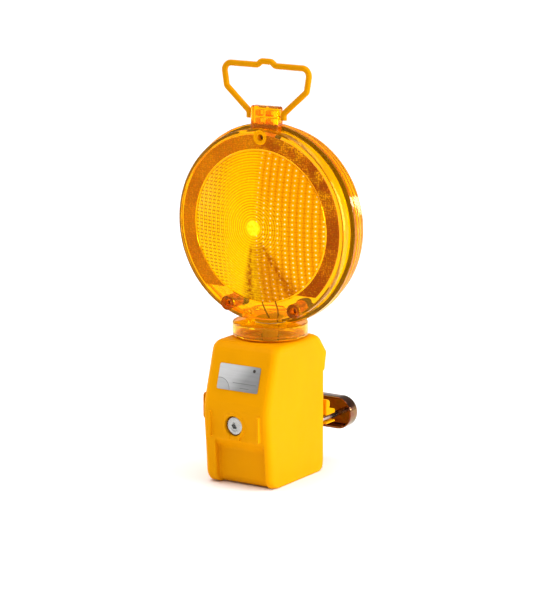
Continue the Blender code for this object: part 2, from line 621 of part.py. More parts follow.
def make_front_lens():
    face = dome(OPTIC_RADIUS, FACE_Y + DOME_HEIGHT - 0.2 * MM, FACE_Y - 0.2 * MM)
    inside = dome(OPTIC_RADIUS - 1 * MM, FACE_Y + DOME_HEIGHT - LENS_WALL, FACE_Y - LENS_WALL - 0.2 * MM)
    profile = face + [(OPTIC_RADIUS + 0.9 * MM, FACE_Y - 0.6 * MM), (RING_RADIUS, FACE_Y - 0.6 * MM),
                      (RING_RADIUS + 0.8 * MM, FACE_Y), (RIM_RADIUS - 0.9 * MM, FACE_Y),
                      (RIM_RADIUS, FACE_Y - 0.9 * MM), (RIM_RADIUS, 5.4 * MM), (FLANGE_RADIUS - 0.4 * MM, 5.4 * MM),
                      (FLANGE_RADIUS, 5.0 * MM), (FLANGE_RADIUS, 0.5 * MM), (RIM_RADIUS - LENS_WALL, 0.5 * MM),
                      (RIM_RADIUS - LENS_WALL, FACE_Y - 3.2 * MM)] + inside[::-1]
    lens = turned("front_lens", profile, AMBER, HEAD_STEPS, "HEAD", (0, 0, HEAD_Z))
    block = box("hinge_block", (-BLOCK_HALF_WIDTH, -12.2 * MM, 340 * MM), (BLOCK_HALF_WIDTH, -0.6 * MM, BLOCK_TOP),
                bevel=2.6 * MM, segments=2)
    block_clear = cylinder("hinge_block_clear", (0, -20 * MM, HEAD_Z), 30 * MM, RIM_RADIUS - 1.5 * MM, "Y", sides=HEAD_STEPS)
    cut(block, block_clear)
    join(lens, block)
    for row, z in enumerate((351.0, 358.8)):
        for side in (-1, 1):
            x = sorted((side * 1.2 * MM, side * 10.2 * MM))
            cut(lens, box(f"block_pocket_{row}_{side}", (x[0], -9.8 * MM, z * MM), (x[1], 10 * MM, (z + 5.4) * MM)))
    cut(lens, cylinder("pivot_bore", (-30 * MM, PIVOT_Y, PIVOT_Z), 60 * MM, 2.4 * MM, "X", sides=16))
    for name, (x, z) in SCREW_PLACES.items():
        place_z = HEAD_Z + z
        join(lens, cylinder(f"front_post_{name}", (x, -17.6 * MM, place_z), 17.1 * MM, 7.4 * MM, "Y", sides=24))
    for name, (x, z) in SCREW_PLACES.items():
        place_z = HEAD_Z + z
        cut(lens, cylinder(f"counterbore_{name}", (x, -40 * MM, place_z), 28.8 * MM, 5.0 * MM, "Y", sides=20))
        cut(lens, cylinder(f"post_hole_{name}", (x, -15 * MM, place_z), 20 * MM, 2.1 * MM, "Y", sides=12))
    cut(lens, *head_openings("lens"))
    return lens


def make_rear_shell():
    back = 27.0 * MM
    edge = FACE_Y
    outside = [(r, -h) for r, h in dome(RING_RADIUS, back, edge, 5)]
    inside = [(r, -h) for r, h in dome(RING_RADIUS - 2 * MM, back - LENS_WALL, edge - LENS_WALL, 5)]
    profile = inside + [(RIM_RADIUS - LENS_WALL, -FACE_Y + 3.2 * MM), (RIM_RADIUS - LENS_WALL, -0.5 * MM),
                        (FLANGE_RADIUS, -0.5 * MM), (FLANGE_RADIUS, -4.5 * MM), (FLANGE_RADIUS - 0.4 * MM, -4.9 * MM),
                        (RIM_RADIUS, -4.9 * MM), (RIM_RADIUS, -FACE_Y + 0.9 * MM),
                        (RIM_RADIUS - 0.9 * MM, -FACE_Y)] + outside[::-1]
    shell = turned("rear_shell", profile, AMBER, HEAD_STEPS, "HEAD", (0, 0, HEAD_Z))
    for name, (x, z) in SCREW_PLACES.items():
        place_z = HEAD_Z + z
        join(shell, cylinder(f"rear_post_{name}", (x, 8.4 * MM, place_z), 9.0 * MM, 5.6 * MM, "Y", sides=20))
    for name, (x, z) in SCREW_PLACES.items():
        place_z = HEAD_Z + z
        cut(shell, cylinder(f"pilot_hole_{name}", (x, 4 * MM, place_z), 11.5 * MM, 2.1 * MM, "Y", sides=12))
        cut(shell, cylinder(f"grommet_seat_{name}", (x, -5 * MM, place_z), 13.2 * MM, 6.1 * MM, "Y", sides=20))
    cut(shell, *head_openings("shell"))
    return shell


def make_head_fittings():
    gasket = [(98.4 * MM, 0.2 * MM), (98.4 * MM, -0.2 * MM), (93.4 * MM, -0.2 * MM), (93.4 * MM, 0.2 * MM)]
    gasket = turned("shell_gasket", gasket, BLACK, HEAD_STEPS, "HEAD", (0, 0, HEAD_Z))
    cut(gasket, *head_openings("gasket"))
    for name, (x, z) in SCREW_PLACES.items():
        cut(gasket, cylinder(f"gasket_notch_{name}", (x, -5 * MM, HEAD_Z + z), 10 * MM, 6.1 * MM, "Y", sides=20))
    outer, inner = RING_RADIUS - 0.6 * MM, OPTIC_RADIUS + 1.6 * MM
    front, back = FACE_Y - 3.6 * MM, FACE_Y - 5.4 * MM
    retro = turned("retro_ring", [(outer, front), (outer, back), (inner, back), (inner, front)], RETRO, HEAD_STEPS,
                   "HEAD", (0, 0, HEAD_Z))
    cut(retro, box("retro_chord", (-120 * MM, -30 * MM, 100 * MM), (120 * MM, 0, RETRO_CHORD_Z)))
    cut(retro, cylinder("retro_notch", (0, -30 * MM, HEAD_Z + SCREW_PLACES["top"][1]), 30 * MM, 7.9 * MM, "Y"))
    for name, (x, z) in SCREW_PLACES.items():
        place_z = HEAD_Z + z
        screw = [(0, 13.7 * MM), (2.4 * MM, 13.5 * MM), (3.6 * MM, 12.5 * MM), (3.6 * MM, 11.5 * MM),
                 (1.7 * MM, 11.5 * MM), (1.7 * MM, -13.0 * MM), (0, -14.2 * MM)]
        turned(f"lens_screw_{name}", screw, STEEL, 16, "HEAD", (x, 0, place_z))
        sleeve = [(5.8 * MM, 0.1 * MM), (5.8 * MM, -8.0 * MM), (2.2 * MM, -8.0 * MM), (2.2 * MM, 0.1 * MM)]
        turned(f"screw_grommet_{name}", sleeve, BLACK, 20, "HEAD", (x, 0, place_z))


def make_light():
    """Support plate on two stand-offs from the rear shell, with the lamp board on its front."""
    low, high = 180 * MM, 266 * MM
    outline = [(-26 * MM, low), (26 * MM, low), (26 * MM, low + 9 * MM), (9 * MM, high), (-9 * MM, high),
               (-26 * MM, low + 9 * MM)]
    pillar = plate("led_pillar", outline, 1.0 * MM, CARRIER, (0, -3.8 * MM, 0), (pi / 2, 0, 0))
    for side in (-1, 1):
        join(pillar, cylinder(f"stand_off_{side}", (side * 14 * MM, -3.8 * MM, 190 * MM), 23.2 * MM, 3.0 * MM, "Y",
                              sides=16))
    box("led_board", (-9 * MM, -6.7 * MM, 234 * MM), (9 * MM, -5.1 * MM, 268 * MM), BOARD)
    led = [(0, 14.2 * MM), (1.7 * MM, 13.7 * MM), (2.7 * MM, 12.0 * MM), (2.9 * MM, 8.4 * MM), (4.0 * MM, 8.4 * MM),
           (4.0 * MM, 7.0 * MM), (0, 7.0 * MM)]
    turned("led_emitter", led, LED_RESIN, 20, "HEAD", (0, 0, HEAD_Z))
    sensor = [(0, 10.0 * MM), (2.4 * MM, 9.8 * MM), (2.6 * MM, 7.0 * MM), (0, 7.0 * MM)]
    turned("light_sensor", sensor, LED_RESIN, 14, "HEAD", (0, 0, 262 * MM))
    routes = {"head_lead_1": ((-6.0, -5.9, 232), (-6.2, -5.9, 214), (-6.0, -5.9, 196), (-5.8, -5.9, 182),
                              (-5.3, -5.6, 173), (-1.8, -5.6, 165), (1.2, -5.8, 160), (3.0, -6.0, 157.2)),
              "head_lead_2": ((6.0, -5.9, 232), (6.4, -5.9, 214), (7.4, -5.9, 196), (8.8, -6.0, 179.4),
                              (10.4, -4.8, 173), (11.6, -3.6, 167), (12.0, -3.0, 161.6), (11.2, -3.0, 157.2))}
    for (name, route), finish in zip(routes.items(), (DARK_WIRE, RED_WIRE)):
        tube(name, [tuple(v * MM for v in point) for point in route], 0.8 * MM, finish)


# ---------------------------------------------------------------- handle


def make_handle():
    """Bail handle: a bar with a raised middle, two knees and two pins that snap into the hinge block."""
    leg, knee, corner = 19.8 * MM, (45.9 * MM, 385.1 * MM), (49.6 * MM, 407.8 * MM)
    rise = 3.8 * MM
    half = [(leg, 355.8 * MM), (leg, 362.2 * MM), knee, corner, (10.4 * MM, corner[1]), (5.6 * MM, corner[1] + rise)]
    corners = [(-x, z) for x, z in half] + [(x, z) for x, z in half[::-1]]
    radii = [5 * MM, 8 * MM, 7.5 * MM, 4 * MM, 4 * MM]
    path = fillet(corners, radii + radii[::-1], steps=3)
    points = [(x, 0, z - PIVOT_Z) for x, z in path]
    handle = tube("handle", points, HANDLE_RADIUS, YELLOW, resolution=2)
    handle.location = (0, PIVOT_Y, PIVOT_Z)
    bpy.context.view_layer.update()
    handle = as_mesh(handle)
    for side in (-1, 1):
        start = 12.4 * MM if side > 0 else -20.7 * MM
        join(handle, cylinder(f"handle_pin_{side}", (start, PIVOT_Y, PIVOT_Z), 8.3 * MM, 2.0 * MM, "X", sides=14))
    return handle


make_housing()
make_cover()
make_saddle()
make_label()
make_button()
make_battery()
make_bolt()
make_stirrup()
make_clamp_bar()
make_neck()
make_front_lens()
make_rear_shell()
make_head_fittings()
make_light()
make_handle()
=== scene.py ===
"""Looks of the road-works warning lamp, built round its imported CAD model.

Metres, +Z up, the lens faces -Y and the head turns about X = Y = 0.
"""

import json
from math import asin, cos, hypot, pi, radians, sin, sqrt

import bmesh
import bpy
from mathutils import Matrix, Vector


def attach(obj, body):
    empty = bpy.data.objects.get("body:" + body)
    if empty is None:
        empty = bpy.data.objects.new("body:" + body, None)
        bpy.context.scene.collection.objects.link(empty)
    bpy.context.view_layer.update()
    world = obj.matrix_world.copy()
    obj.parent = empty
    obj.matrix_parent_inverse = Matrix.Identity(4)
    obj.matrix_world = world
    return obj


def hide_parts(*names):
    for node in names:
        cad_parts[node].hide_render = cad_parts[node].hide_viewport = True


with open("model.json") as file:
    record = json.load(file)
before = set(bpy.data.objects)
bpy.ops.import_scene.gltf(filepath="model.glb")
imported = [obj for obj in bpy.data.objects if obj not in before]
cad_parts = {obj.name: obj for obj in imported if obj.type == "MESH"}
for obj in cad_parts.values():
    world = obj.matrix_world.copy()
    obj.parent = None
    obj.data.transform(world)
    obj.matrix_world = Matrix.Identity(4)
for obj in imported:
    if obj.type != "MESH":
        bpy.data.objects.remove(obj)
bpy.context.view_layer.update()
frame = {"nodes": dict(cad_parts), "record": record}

MM = 0.001
NODES = frame["nodes"]
SCENE = bpy.context.scene

HEAD_Z = 251.7 * MM
OPTIC_RADIUS = 74.3 * MM
RING_RADIUS = 90.5 * MM
RIM_RADIUS = 95.3 * MM
FLANGE_RADIUS = 99.5 * MM
FACE_Y = 18.9 * MM
DOME_HEIGHT = 12.1 * MM
SEAT_Z = 155.3 * MM
RETRO_CHORD_Z = 188.0 * MM
# The lens screws, from the middle of the head.
SCREW_PLACES = {
    "top": (0.0, 87.2 * MM),
    "left": (-38.2 * MM, -80.2 * MM),
    "right": (38.2 * MM, -80.2 * MM),
}
ROD_X = 33.0 * MM
ROD_Z = 50.6 * MM
BOLT_Z = 61.9 * MM
BAR_RADIUS = 16.2 * MM
PIVOT_Y = -6.7 * MM
LABEL_X = 1.0 * MM
LABEL_HALF_WIDTH = 23.4 * MM
LABEL_BOTTOM = 96.1 * MM
LABEL_TOP = 120.3 * MM
RIB_CENTRE = 1.0 * MM
RIB_SPREAD = 27.9 * MM
BELLY_Y = -63.4 * MM
RIB_Y = -68.4 * MM
WELL_LIP_Y = -66.4 * MM
WELL_REACH = 16 * MM
# Left column of the recess in the housing's lower front.
COLUMN_LEFT = -33.4 * MM
COLUMN_RIGHT = -23.4 * MM
COLUMN_OVERLAP = 1.4 * MM
# Height, face of the column and face of the recessed panel behind it, in millimetres.
COLUMN_PROFILE = (
    (0.4, -51.2, -45.9), (1.5, -54.1, -48.7), (3.0, -56.5, -50.9), (5.2, -58.7, -52.8),
    (8.0, -60.0, -54.0), (12.0, -60.9, -54.5), (30.0, -62.2, -54.5), (49.8, -64.1, -58.0),
)
# Pattern of the optic: Fresnel rings, small lenses in columns and rows, and short dashes on the left.
RING_PITCH = 2.6 * MM
COLUMN = 7.7 * MM
ROW = 4.7 * MM
DASH_COLUMN = 5.8 * MM
DASH_ROW = 3.5 * MM
SPOT_RADIUS = 8.2 * MM


# ---------------------------------------------------------------- camera, floor and light

AZIMUTH = radians(32.805)
ELEVATION = radians(11.387)
DISTANCE = 2.8776
TARGET = Vector((0, 0, 0.2))
away = Vector((sin(AZIMUTH) * cos(ELEVATION), -cos(AZIMUTH) * cos(ELEVATION), sin(ELEVATION)))

camera = bpy.data.objects.new("camera", bpy.data.cameras.new("camera"))
SCENE.collection.objects.link(camera)
camera.location = TARGET + away * DISTANCE
camera.rotation_euler = (-away).to_track_quat("-Z", "Y").to_euler()
camera.data.lens = 171.9
camera.data.shift_x = -0.00616
camera.data.shift_y = -0.05196
camera.data.clip_end = 50
SCENE.camera = camera
SCENE.view_settings.view_transform = "Standard"


def softbox(name, position, size, power):
    """A rectangular area light that faces the middle of the object."""
    lamp = bpy.data.lights.new(name, "AREA")
    lamp.shape = "RECTANGLE"
    lamp.size, lamp.size_y = size
    lamp.energy = power
    made = bpy.data.objects.new(name, lamp)
    made.location = position
    made.rotation_euler = (TARGET - Vector(position)).to_track_quat("-Z", "Y").to_euler()
    SCENE.collection.objects.link(made)
    return made


softbox("softbox_right", (2.4, 0.75, 0.9), (2.1, 2.2), 88)
softbox("softbox_left", (-2.6, -0.1, 0.8), (1.8, 1.8), 30)
softbox("strip_back", (1.40, 2.15, 0.55), (0.07, 0.6), 2.2)


def make_world():
    """White sweep near the horizon, a darker room above it and a large soft ceiling light."""
    world = bpy.data.worlds.new("studio")
    SCENE.world = world
    world.use_nodes = True
    tree = world.node_tree
    direction = tree.nodes.new("ShaderNodeTexCoord").outputs["Generated"]
    height = tree.nodes.new("ShaderNodeSeparateXYZ")
    tree.links.new(direction, height.inputs[0])
    ramp = tree.nodes.new("ShaderNodeValToRGB")
    tree.links.new(height.outputs["Z"], ramp.inputs["Fac"])
    stops = ((0.0, 0.40), (0.14, 0.40), (0.24, 0.09), (0.66, 0.09), (0.84, 1.0), (1.0, 1.0))
    elements = ramp.color_ramp.elements
    while len(elements) < len(stops):
        elements.new(0.5)
    for element, (position, level) in zip(elements, stops):
        element.position = position
        element.color = (level, level, level, 1.0)
    background = tree.nodes["Background"]
    tree.links.new(ramp.outputs["Color"], background.inputs["Color"])
    background.inputs["Strength"].default_value = 2.5


make_world()


# ---------------------------------------------------------------- materials


class Shader:
    """A node material with small helpers for procedural detail in object space."""

    def __init__(self, name, colour, roughness, **settings):
        self.material = bpy.data.materials.new(name)
        self.material.use_nodes = True
        self.tree = self.material.node_tree
        self.bsdf = self.tree.nodes["Principled BSDF"]
        self.set("Base Color", (*colour, 1.0))
        self.set("Roughness", roughness)
        for key, value in settings.items():
            self.set(key.replace("_", " "), value)
        self.coordinates = self.tree.nodes.new("ShaderNodeTexCoord").outputs["Object"]
        self.bump_normal = None

    def set(self, socket, value):
        self.bsdf.inputs[socket].default_value = value

    def link(self, output, socket):
        self.tree.links.new(output, self.bsdf.inputs[socket])

    def node(self, kind, inputs=(), **settings):
        made = self.tree.nodes.new(kind)
        for key, value in settings.items():
            setattr(made, key, value)
        for key, value in dict(inputs).items():
            if isinstance(value, bpy.types.NodeSocket):
                self.tree.links.new(value, made.inputs[key])
            else:
                made.inputs[key].default_value = value
        return made

    def maths(self, operation, first, second=0.0):
        return self.node("ShaderNodeMath", {0: first, 1: second}, operation=operation).outputs[0]

    def axis(self, letter):
        return self.node("ShaderNodeSeparateXYZ", {"Vector": self.coordinates}).outputs[letter]

    def absolute(self, value, centre=0.0):
        return self.maths("ABSOLUTE", self.maths("SUBTRACT", value, centre))

    def noise(self, scale, detail=2.0, roughness=0.5, stretch=None):
        where = self.coordinates
        if stretch:
            where = self.node("ShaderNodeMapping", {"Vector": where, "Scale": stretch}).outputs[0]
        inputs = {"Vector": where, "Scale": scale, "Detail": detail, "Roughness": roughness}
        return self.node("ShaderNodeTexNoise", inputs).outputs["Fac"]

    def length(self, first, second):
        """Length of the vector whose two sides are given."""
        squares = [self.maths("MULTIPLY", side, side) for side in (first, second)]
        return self.maths("SQRT", self.maths("ADD", *squares))

    def off_centre(self, value, pitch):
        """Distance from the middle of the cell, in cells of this pitch: -0.5 to 0.5."""
        return self.maths("SUBTRACT", self.maths("FRACT", self.maths("DIVIDE", value, pitch)), 0.5)

    def ramp(self, factor, *stops):
        """A colour ramp through (position, colour or grey level) stops."""
        made = self.node("ShaderNodeValToRGB", {"Fac": factor})
        elements = made.color_ramp.elements
        while len(elements) < len(stops):
            elements.new(0.5)
        for element, (position, colour) in zip(elements, stops):
            element.position = position
            element.color = (*colour, 1.0) if isinstance(colour, tuple) else (colour, colour, colour, 1.0)
        return made.outputs["Color"]

    def mix(self, factor, first, second, blend="MIX"):
        made = self.node("ShaderNodeMix", data_type="RGBA", blend_type=blend)
        for socket, value in zip((made.inputs[0], made.inputs[6], made.inputs[7]), (factor, first, second)):
            if isinstance(value, bpy.types.NodeSocket):
                self.tree.links.new(value, socket)
            else:
                socket.default_value = (*value, 1.0) if isinstance(value, tuple) else value
        return made.outputs[2]

    def range(self, value, low, high, to_low=0.0, to_high=1.0):
        """Smooth step from to_low at low to to_high at high."""
        inputs = {"Value": value, "From Min": low, "From Max": high, "To Min": to_low, "To Max": to_high}
        return self.node("ShaderNodeMapRange", inputs, interpolation_type="SMOOTHSTEP").outputs["Result"]

    def both(self, first, second):
        return self.maths("MULTIPLY", first, second)

    def bump(self, height, strength, distance):
        inputs = {"Height": height, "Strength": strength, "Distance": distance}
        if self.bump_normal is not None:
            inputs["Normal"] = self.bump_normal
        self.bump_normal = self.node("ShaderNodeBump", inputs).outputs["Normal"]
        self.link(self.bump_normal, "Normal")


def moulded_plastic(name, colour, deep, roughness=0.36):
    """Injection-moulded plastic: faint flow mottling, a fine spark-eroded grain and uneven gloss."""
    s = Shader(name, colour, roughness, Specular_IOR_Level=0.02)
    flow = s.noise(26, 3.0, 0.55, (1, 1, 0.45))
    s.link(s.ramp(flow, (0.35, deep), (0.62, colour)), "Base Color")
    s.link(s.range(s.noise(140, 4.0, 0.6), 0.3, 0.7, roughness - 0.05, roughness + 0.09), "Roughness")
    s.bump(s.noise(2600, 2.0, 0.6), 0.10, 0.00012)
    s.bump(s.noise(60, 2.0), 0.05, 0.0006)
    return s


def clear_plastic(name, colour, clarity=0.9, roughness=0.05, ripple=0.06, painted_glow=0.0):
    """Transparent plastic: a moulded wall's waviness, a little milkiness and painted light emitted in the
    plastic's own orange.
    """
    s = Shader(name, colour, roughness, Transmission_Weight=clarity, IOR=1.36, Specular_IOR_Level=0.05)
    s.set("Specular Tint", (1.0, 0.75, 0.2, 1.0))
    # Painted light: the plastic also emits its own orange colour, though it is no lamp.
    s.set("Emission Color", (1.0, colour[1] * 0.55, 0.0, 1.0))
    s.set("Emission Strength", painted_glow)
    thicker = (colour[0], colour[1] * 0.9, colour[2])
    s.link(s.ramp(s.noise(30, 2.0), (0.3, thicker), (0.7, colour)), "Base Color")
    s.bump(s.noise(90, 2.0), ripple, 0.0008)
    return s


def bright_metal(name, colour, roughness, stretch=(1, 1, 1)):
    """Bare or plated metal with a fine, slightly darker grain and uneven gloss."""
    s = Shader(name, colour, roughness, Metallic=1.0)
    dark = tuple(c * 0.72 for c in colour)
    s.link(s.ramp(s.noise(300, 4.0, 0.65, stretch), (0.3, dark), (0.65, colour)), "Base Color")
    gloss = s.range(s.noise(690, 3.0, 0.6, stretch), 0.3, 0.7, roughness * 0.75, roughness * 1.35)
    s.link(gloss, "Roughness")
    s.bump(s.noise(1500, 2.0, 0.5, stretch), 0.12, 0.00008)
    return s


YELLOW = moulded_plastic("yellow_plastic", (0.77, 0.31, 0.0), (0.74, 0.295, 0.0), 0.45)
HANDLE_YELLOW = moulded_plastic("handle_plastic", (0.68, 0.265, 0.0), (0.62, 0.235, 0.0), 0.42)
AMBER = clear_plastic("amber_clear", (1.0, 0.66, 0.0), 0.97, painted_glow=0.075)
AMBER_DEEP = clear_plastic("amber_clear_thick", (1.0, 0.42, 0.0), 0.92, 0.06, 0.2, painted_glow=0.03)
AMBER_NECK = clear_plastic("amber_clear_neck", (1.0, 0.58, 0.0), 0.93, 0.05, 0.2, painted_glow=0.05)
AMBER_BOSS = clear_plastic("amber_clear_boss", (1.0, 0.50, 0.0), 0.3, 0.08, 0.1, painted_glow=0.05)
AMBER_POST = clear_plastic("amber_clear_post", (0.86, 0.27, 0.0), 0.85, 0.06, 0.12, painted_glow=0.02)
BLACK = moulded_plastic("black_rubber", (0.022, 0.020, 0.018), (0.014, 0.013, 0.012), 0.55)
STEEL = bright_metal("zinc_plated_steel", (0.46, 0.46, 0.44), 0.24)
SCREW_STEEL = bright_metal("dark_screw_steel", (0.30, 0.26, 0.24), 0.12)
SEAL = moulded_plastic("orange_seal_rubber", (0.62, 0.17, 0.0), (0.52, 0.13, 0.0), 0.55)
NYLON = moulded_plastic("natural_nylon", (0.62, 0.55, 0.40), (0.52, 0.45, 0.32), 0.5)
WRAP = moulded_plastic("battery_wrap", (0.06, 0.09, 0.16), (0.045, 0.065, 0.12), 0.35)
SOLDER_MASK = moulded_plastic("circuit_board", (0.02, 0.20, 0.07), (0.015, 0.15, 0.05), 0.35)
BRASS = bright_metal("stamped_brass", (0.78, 0.56, 0.25), 0.25)
RED_WIRE = moulded_plastic("red_wire", (0.12, 0.015, 0.006), (0.09, 0.012, 0.005), 0.4)
DARK_WIRE = moulded_plastic("dark_wire", (0.04, 0.010, 0.004), (0.03, 0.008, 0.003), 0.4)
RESIN = clear_plastic("led_resin", (1.0, 0.82, 0.25), 0.7, 0.05, 0.02)


def foil():
    """Silver label foil: brushed, light at the left and grey towards the right, with plain printed marks."""
    s = Shader("label_foil", (0.6, 0.6, 0.6), 0.42, Metallic=0.35, Specular_IOR_Level=0.2)
    x, z = s.axis("X"), s.axis("Z")
    slant = s.maths("SUBTRACT", x, s.maths("MULTIPLY", z, 0.9))
    low = LABEL_X - LABEL_HALF_WIDTH - 0.9 * LABEL_TOP
    high = LABEL_X + LABEL_HALF_WIDTH - 0.9 * LABEL_BOTTOM
    tone = s.ramp(s.range(slant, low, high), (0.0, 0.64), (0.35, 0.56), (0.70, 0.30), (1.0, 0.24))
    grain = s.noise(500, 3.0, 0.6, (0.08, 1, 1))
    tone = s.mix(0.10, tone, s.ramp(grain, (0.3, 0.2), (0.7, 0.9)), "OVERLAY")

    def distance(centre_x, centre_z):
        return s.length(s.maths("SUBTRACT", x, centre_x), s.maths("SUBTRACT", z, centre_z))

    arc_distance = distance(LABEL_X - LABEL_HALF_WIDTH + 2.6 * MM, LABEL_BOTTOM - 1.2 * MM)
    tone = s.mix(s.range(arc_distance, 11.4 * MM, 11.8 * MM, 0.35, 0.0), tone, (0.30, 0.30, 0.30))
    line = s.absolute(arc_distance, 12.0 * MM)
    tone = s.mix(s.range(line, 0.15 * MM, 0.40 * MM, 0.85, 0.0), tone, (0.10, 0.10, 0.10))
    dot = distance(LABEL_X + 16.6 * MM, LABEL_TOP - 3.6 * MM)
    tone = s.mix(s.range(dot, 1.4 * MM, 1.8 * MM, 0.95, 0.0), tone, (0.02, 0.02, 0.02))
    # Two printed rules: height over the label's lower edge, middle and half length.
    for height, middle, half in ((7.6 * MM, 7.5 * MM, 13.5 * MM), (3.2 * MM, 8 * MM, 5 * MM)):
        across = s.absolute(z, LABEL_BOTTOM + height)
        along = s.absolute(x, LABEL_X + middle)
        inked = s.both(s.range(across, 0.18 * MM, 0.36 * MM, 1.0, 0.0),
                       s.range(along, half, half + 0.2 * MM, 0.75, 0.0))
        tone = s.mix(inked, tone, (0.12, 0.12, 0.12))
    s.link(tone, "Base Color")
    s.bump(grain, 0.06, 0.00006)
    return s


FOIL = foil()


def chromate():
    """Yellow-chromated steel: brown gold that drifts to rose and olive, bright and slightly uneven."""
    s = Shader("yellow_chromate", (0.62, 0.36, 0.12), 0.10, Metallic=1.0)
    drift = s.noise(55, 3.0, 0.5, (1, 1, 1.6))
    tone = s.ramp(drift, (0.30, (0.10, 0.08, 0.02)), (0.44, (0.26, 0.14, 0.04)),
                  (0.56, (0.24, 0.09, 0.05)), (0.70, (0.12, 0.05, 0.03)))
    s.link(tone, "Base Color")
    s.link(s.range(s.noise(420, 3.0), 0.3, 0.7, 0.06, 0.16), "Roughness")
    s.bump(s.noise(700, 3.0), 0.08, 0.0001)
    return s


CHROMATE = chromate()
ROD_METAL = bright_metal("chromated_rod", (0.52, 0.38, 0.32), 0.22, (1, 0.1, 1))


def head_polar(s):
    """Nodes for x, z, radius and angle round the lamp head's axis."""
    x = s.axis("X")
    z = s.maths("SUBTRACT", s.axis("Z"), HEAD_Z)
    return x, z, s.length(x, z), s.maths("ARCTAN2", x, s.maths("MULTIPLY", z, -1.0))


def reflector():
    """Amber micro-prism reflector: small cells in sectors whose prisms look different ways, painted shade on
    the right, painted light in patches at the upper right and painted glints in the cells.
    """
    s = Shader("reflector_prisms", (0.85, 0.30, 0.0), 0.35, Specular_IOR_Level=0.03)
    x, z, _, angle = head_polar(s)
    sector = s.maths("FRACT", s.maths("MULTIPLY", angle, 9 / (2 * pi)))
    side = s.ramp(sector, (0.0, 0.15), (0.46, 0.25), (0.54, 0.80), (0.97, 0.72))
    right = s.range(x, -45 * MM, 50 * MM)
    cells = s.node("ShaderNodeTexVoronoi", {"Vector": s.coordinates, "Scale": 500, "Randomness": 0.5})
    distance, patch = cells.outputs["Distance"], cells.outputs["Color"]
    left_tone = s.ramp(side, (0.2, (0.64, 0.175, 0.0)), (0.8, (0.72, 0.21, 0.0)))
    # Painted shade: the right side is darker.
    shaded_right_tone = s.ramp(side, (0.2, (0.40, 0.085, 0.0)), (0.8, (0.60, 0.16, 0.0)))
    tone = s.mix(right, left_tone, shaded_right_tone)
    # Painted light: bright patches at the upper right.
    upper = s.both(right, s.range(z, 0.0, 60 * MM))
    bright = s.both(upper, s.ramp(s.noise(70, 2.0), (0.42, 0.0), (0.58, 0.8)))
    tone = s.mix(bright, tone, (1.0, 0.42, 0.0))
    gap = s.both(s.range(distance, 0.42, 0.62), s.range(right, 0.0, 1.0, 0.35, 0.75))
    tone = s.mix(gap, tone, (0.34, 0.05, 0.0))
    glint = s.both(s.range(distance, 0.10, 0.34, 1.0, 0.0), s.range(right, 0.0, 1.0, 0.30, 0.80))
    tone = s.mix(glint, tone, (1.0, 0.44, 0.0))
    s.link(s.mix(0.10, tone, patch, "OVERLAY"), "Base Color")
    s.bump(distance, 0.5, 0.0006)
    return s


REFLECTOR = reflector()


def optic_rings(s, radius):
    """Colour across the Fresnel rings: brown painted shade in each groove, yellow painted light on its slope.
    """
    wander = s.both(s.maths("SUBTRACT", s.noise(45, 2.0), 0.5), 0.35)
    count = s.maths("DIVIDE", s.maths("SUBTRACT", radius, SPOT_RADIUS), RING_PITCH)
    ring = s.maths("FRACT", s.maths("ADD", count, s.both(wander, 0.4)))
    return s.ramp(ring, (0.0, (0.62, 0.17, 0.0)), (0.22, (0.82, 0.30, 0.0)), (0.46, (1.0, 0.58, 0.0)),
                  (0.76, (1.0, 0.66, 0.0)), (0.98, (0.62, 0.17, 0.0)))


def optic_left(s, x, z, rings):
    """Left half: calm rings, with short dashes towards the far left."""
    calm = s.maths("MAXIMUM", s.range(s.noise(22, 2.0), 0.35, 0.65, 0.0, 0.35),
                   s.range(z, 10 * MM, -34 * MM, 0.0, 0.5))
    soft = s.mix(calm, rings, (1.0, 0.60, 0.0))
    dash = s.both(s.range(s.absolute(s.off_centre(z, DASH_ROW)), 0.12, 0.26, 1.0, 0.0),
                  s.range(s.absolute(s.off_centre(x, DASH_COLUMN)), 0.28, 0.42, 1.0, 0.0))
    far_left = s.range(x, -22 * MM, -48 * MM, 0.0, 0.80)
    return s.mix(s.both(dash, far_left), soft, (0.52, 0.12, 0.0))


def optic_right(s, x, z, radius, rings):
    """Right half: painted pale glints in columns of small lenses, each lens painted lighter in its middle and
    darker at its edges, with rings only near the middle.
    """
    u, v = s.off_centre(x, COLUMN), s.off_centre(z, ROW)
    dot = s.length(s.both(u, COLUMN / ROW * 0.92), v)
    # Painted light and shade on each small lens: lighter in the middle of its column, darker towards its
    # sides and its row edges.
    columns = s.ramp(s.absolute(u), (0.05, (0.94, 0.40, 0.0)), (0.30, (0.84, 0.31, 0.0)),
                     (0.46, (0.70, 0.21, 0.0)))
    columns = s.mix(s.range(radius, 10 * MM, 46 * MM, 0.75, 0.12), columns, rings)
    strength = s.range(s.noise(60, 2.0), 0.30, 0.55, 0.5, 1.0)
    glint = s.both(s.range(dot, 0.08, 0.20, 1.0, 0.0), strength)
    lenses = s.mix(glint, columns, (1.0, 0.86, 0.42))
    return s.mix(s.range(s.absolute(v), 0.34, 0.5, 0.0, 0.5), lenses, (0.62, 0.15, 0.0))


def optic_painted_shade_fan(s, radius, angle):
    """Strength of the painted shade in a fan under the middle, where the LED pillar stands behind the lens,
    darker along its two edges.
    """
    inside = s.both(s.range(angle, -0.30, -0.14), s.range(angle, 0.50, 0.66, 1.0, 0.0))
    edges = s.maths("MAXIMUM", s.range(s.absolute(angle, -0.15), 0.0, 0.17, 1.0, 0.0),
                    s.range(s.absolute(angle, 0.54), 0.0, 0.22, 1.0, 0.0))
    fan = s.maths("MAXIMUM", s.both(inside, 0.45), s.both(edges, 0.85))
    fan = s.both(fan, s.range(radius, 8 * MM, 26 * MM))
    return s.both(fan, s.range(s.noise(260, 3.0, 0.8), 0.34, 0.60, 0.35, 1.15))


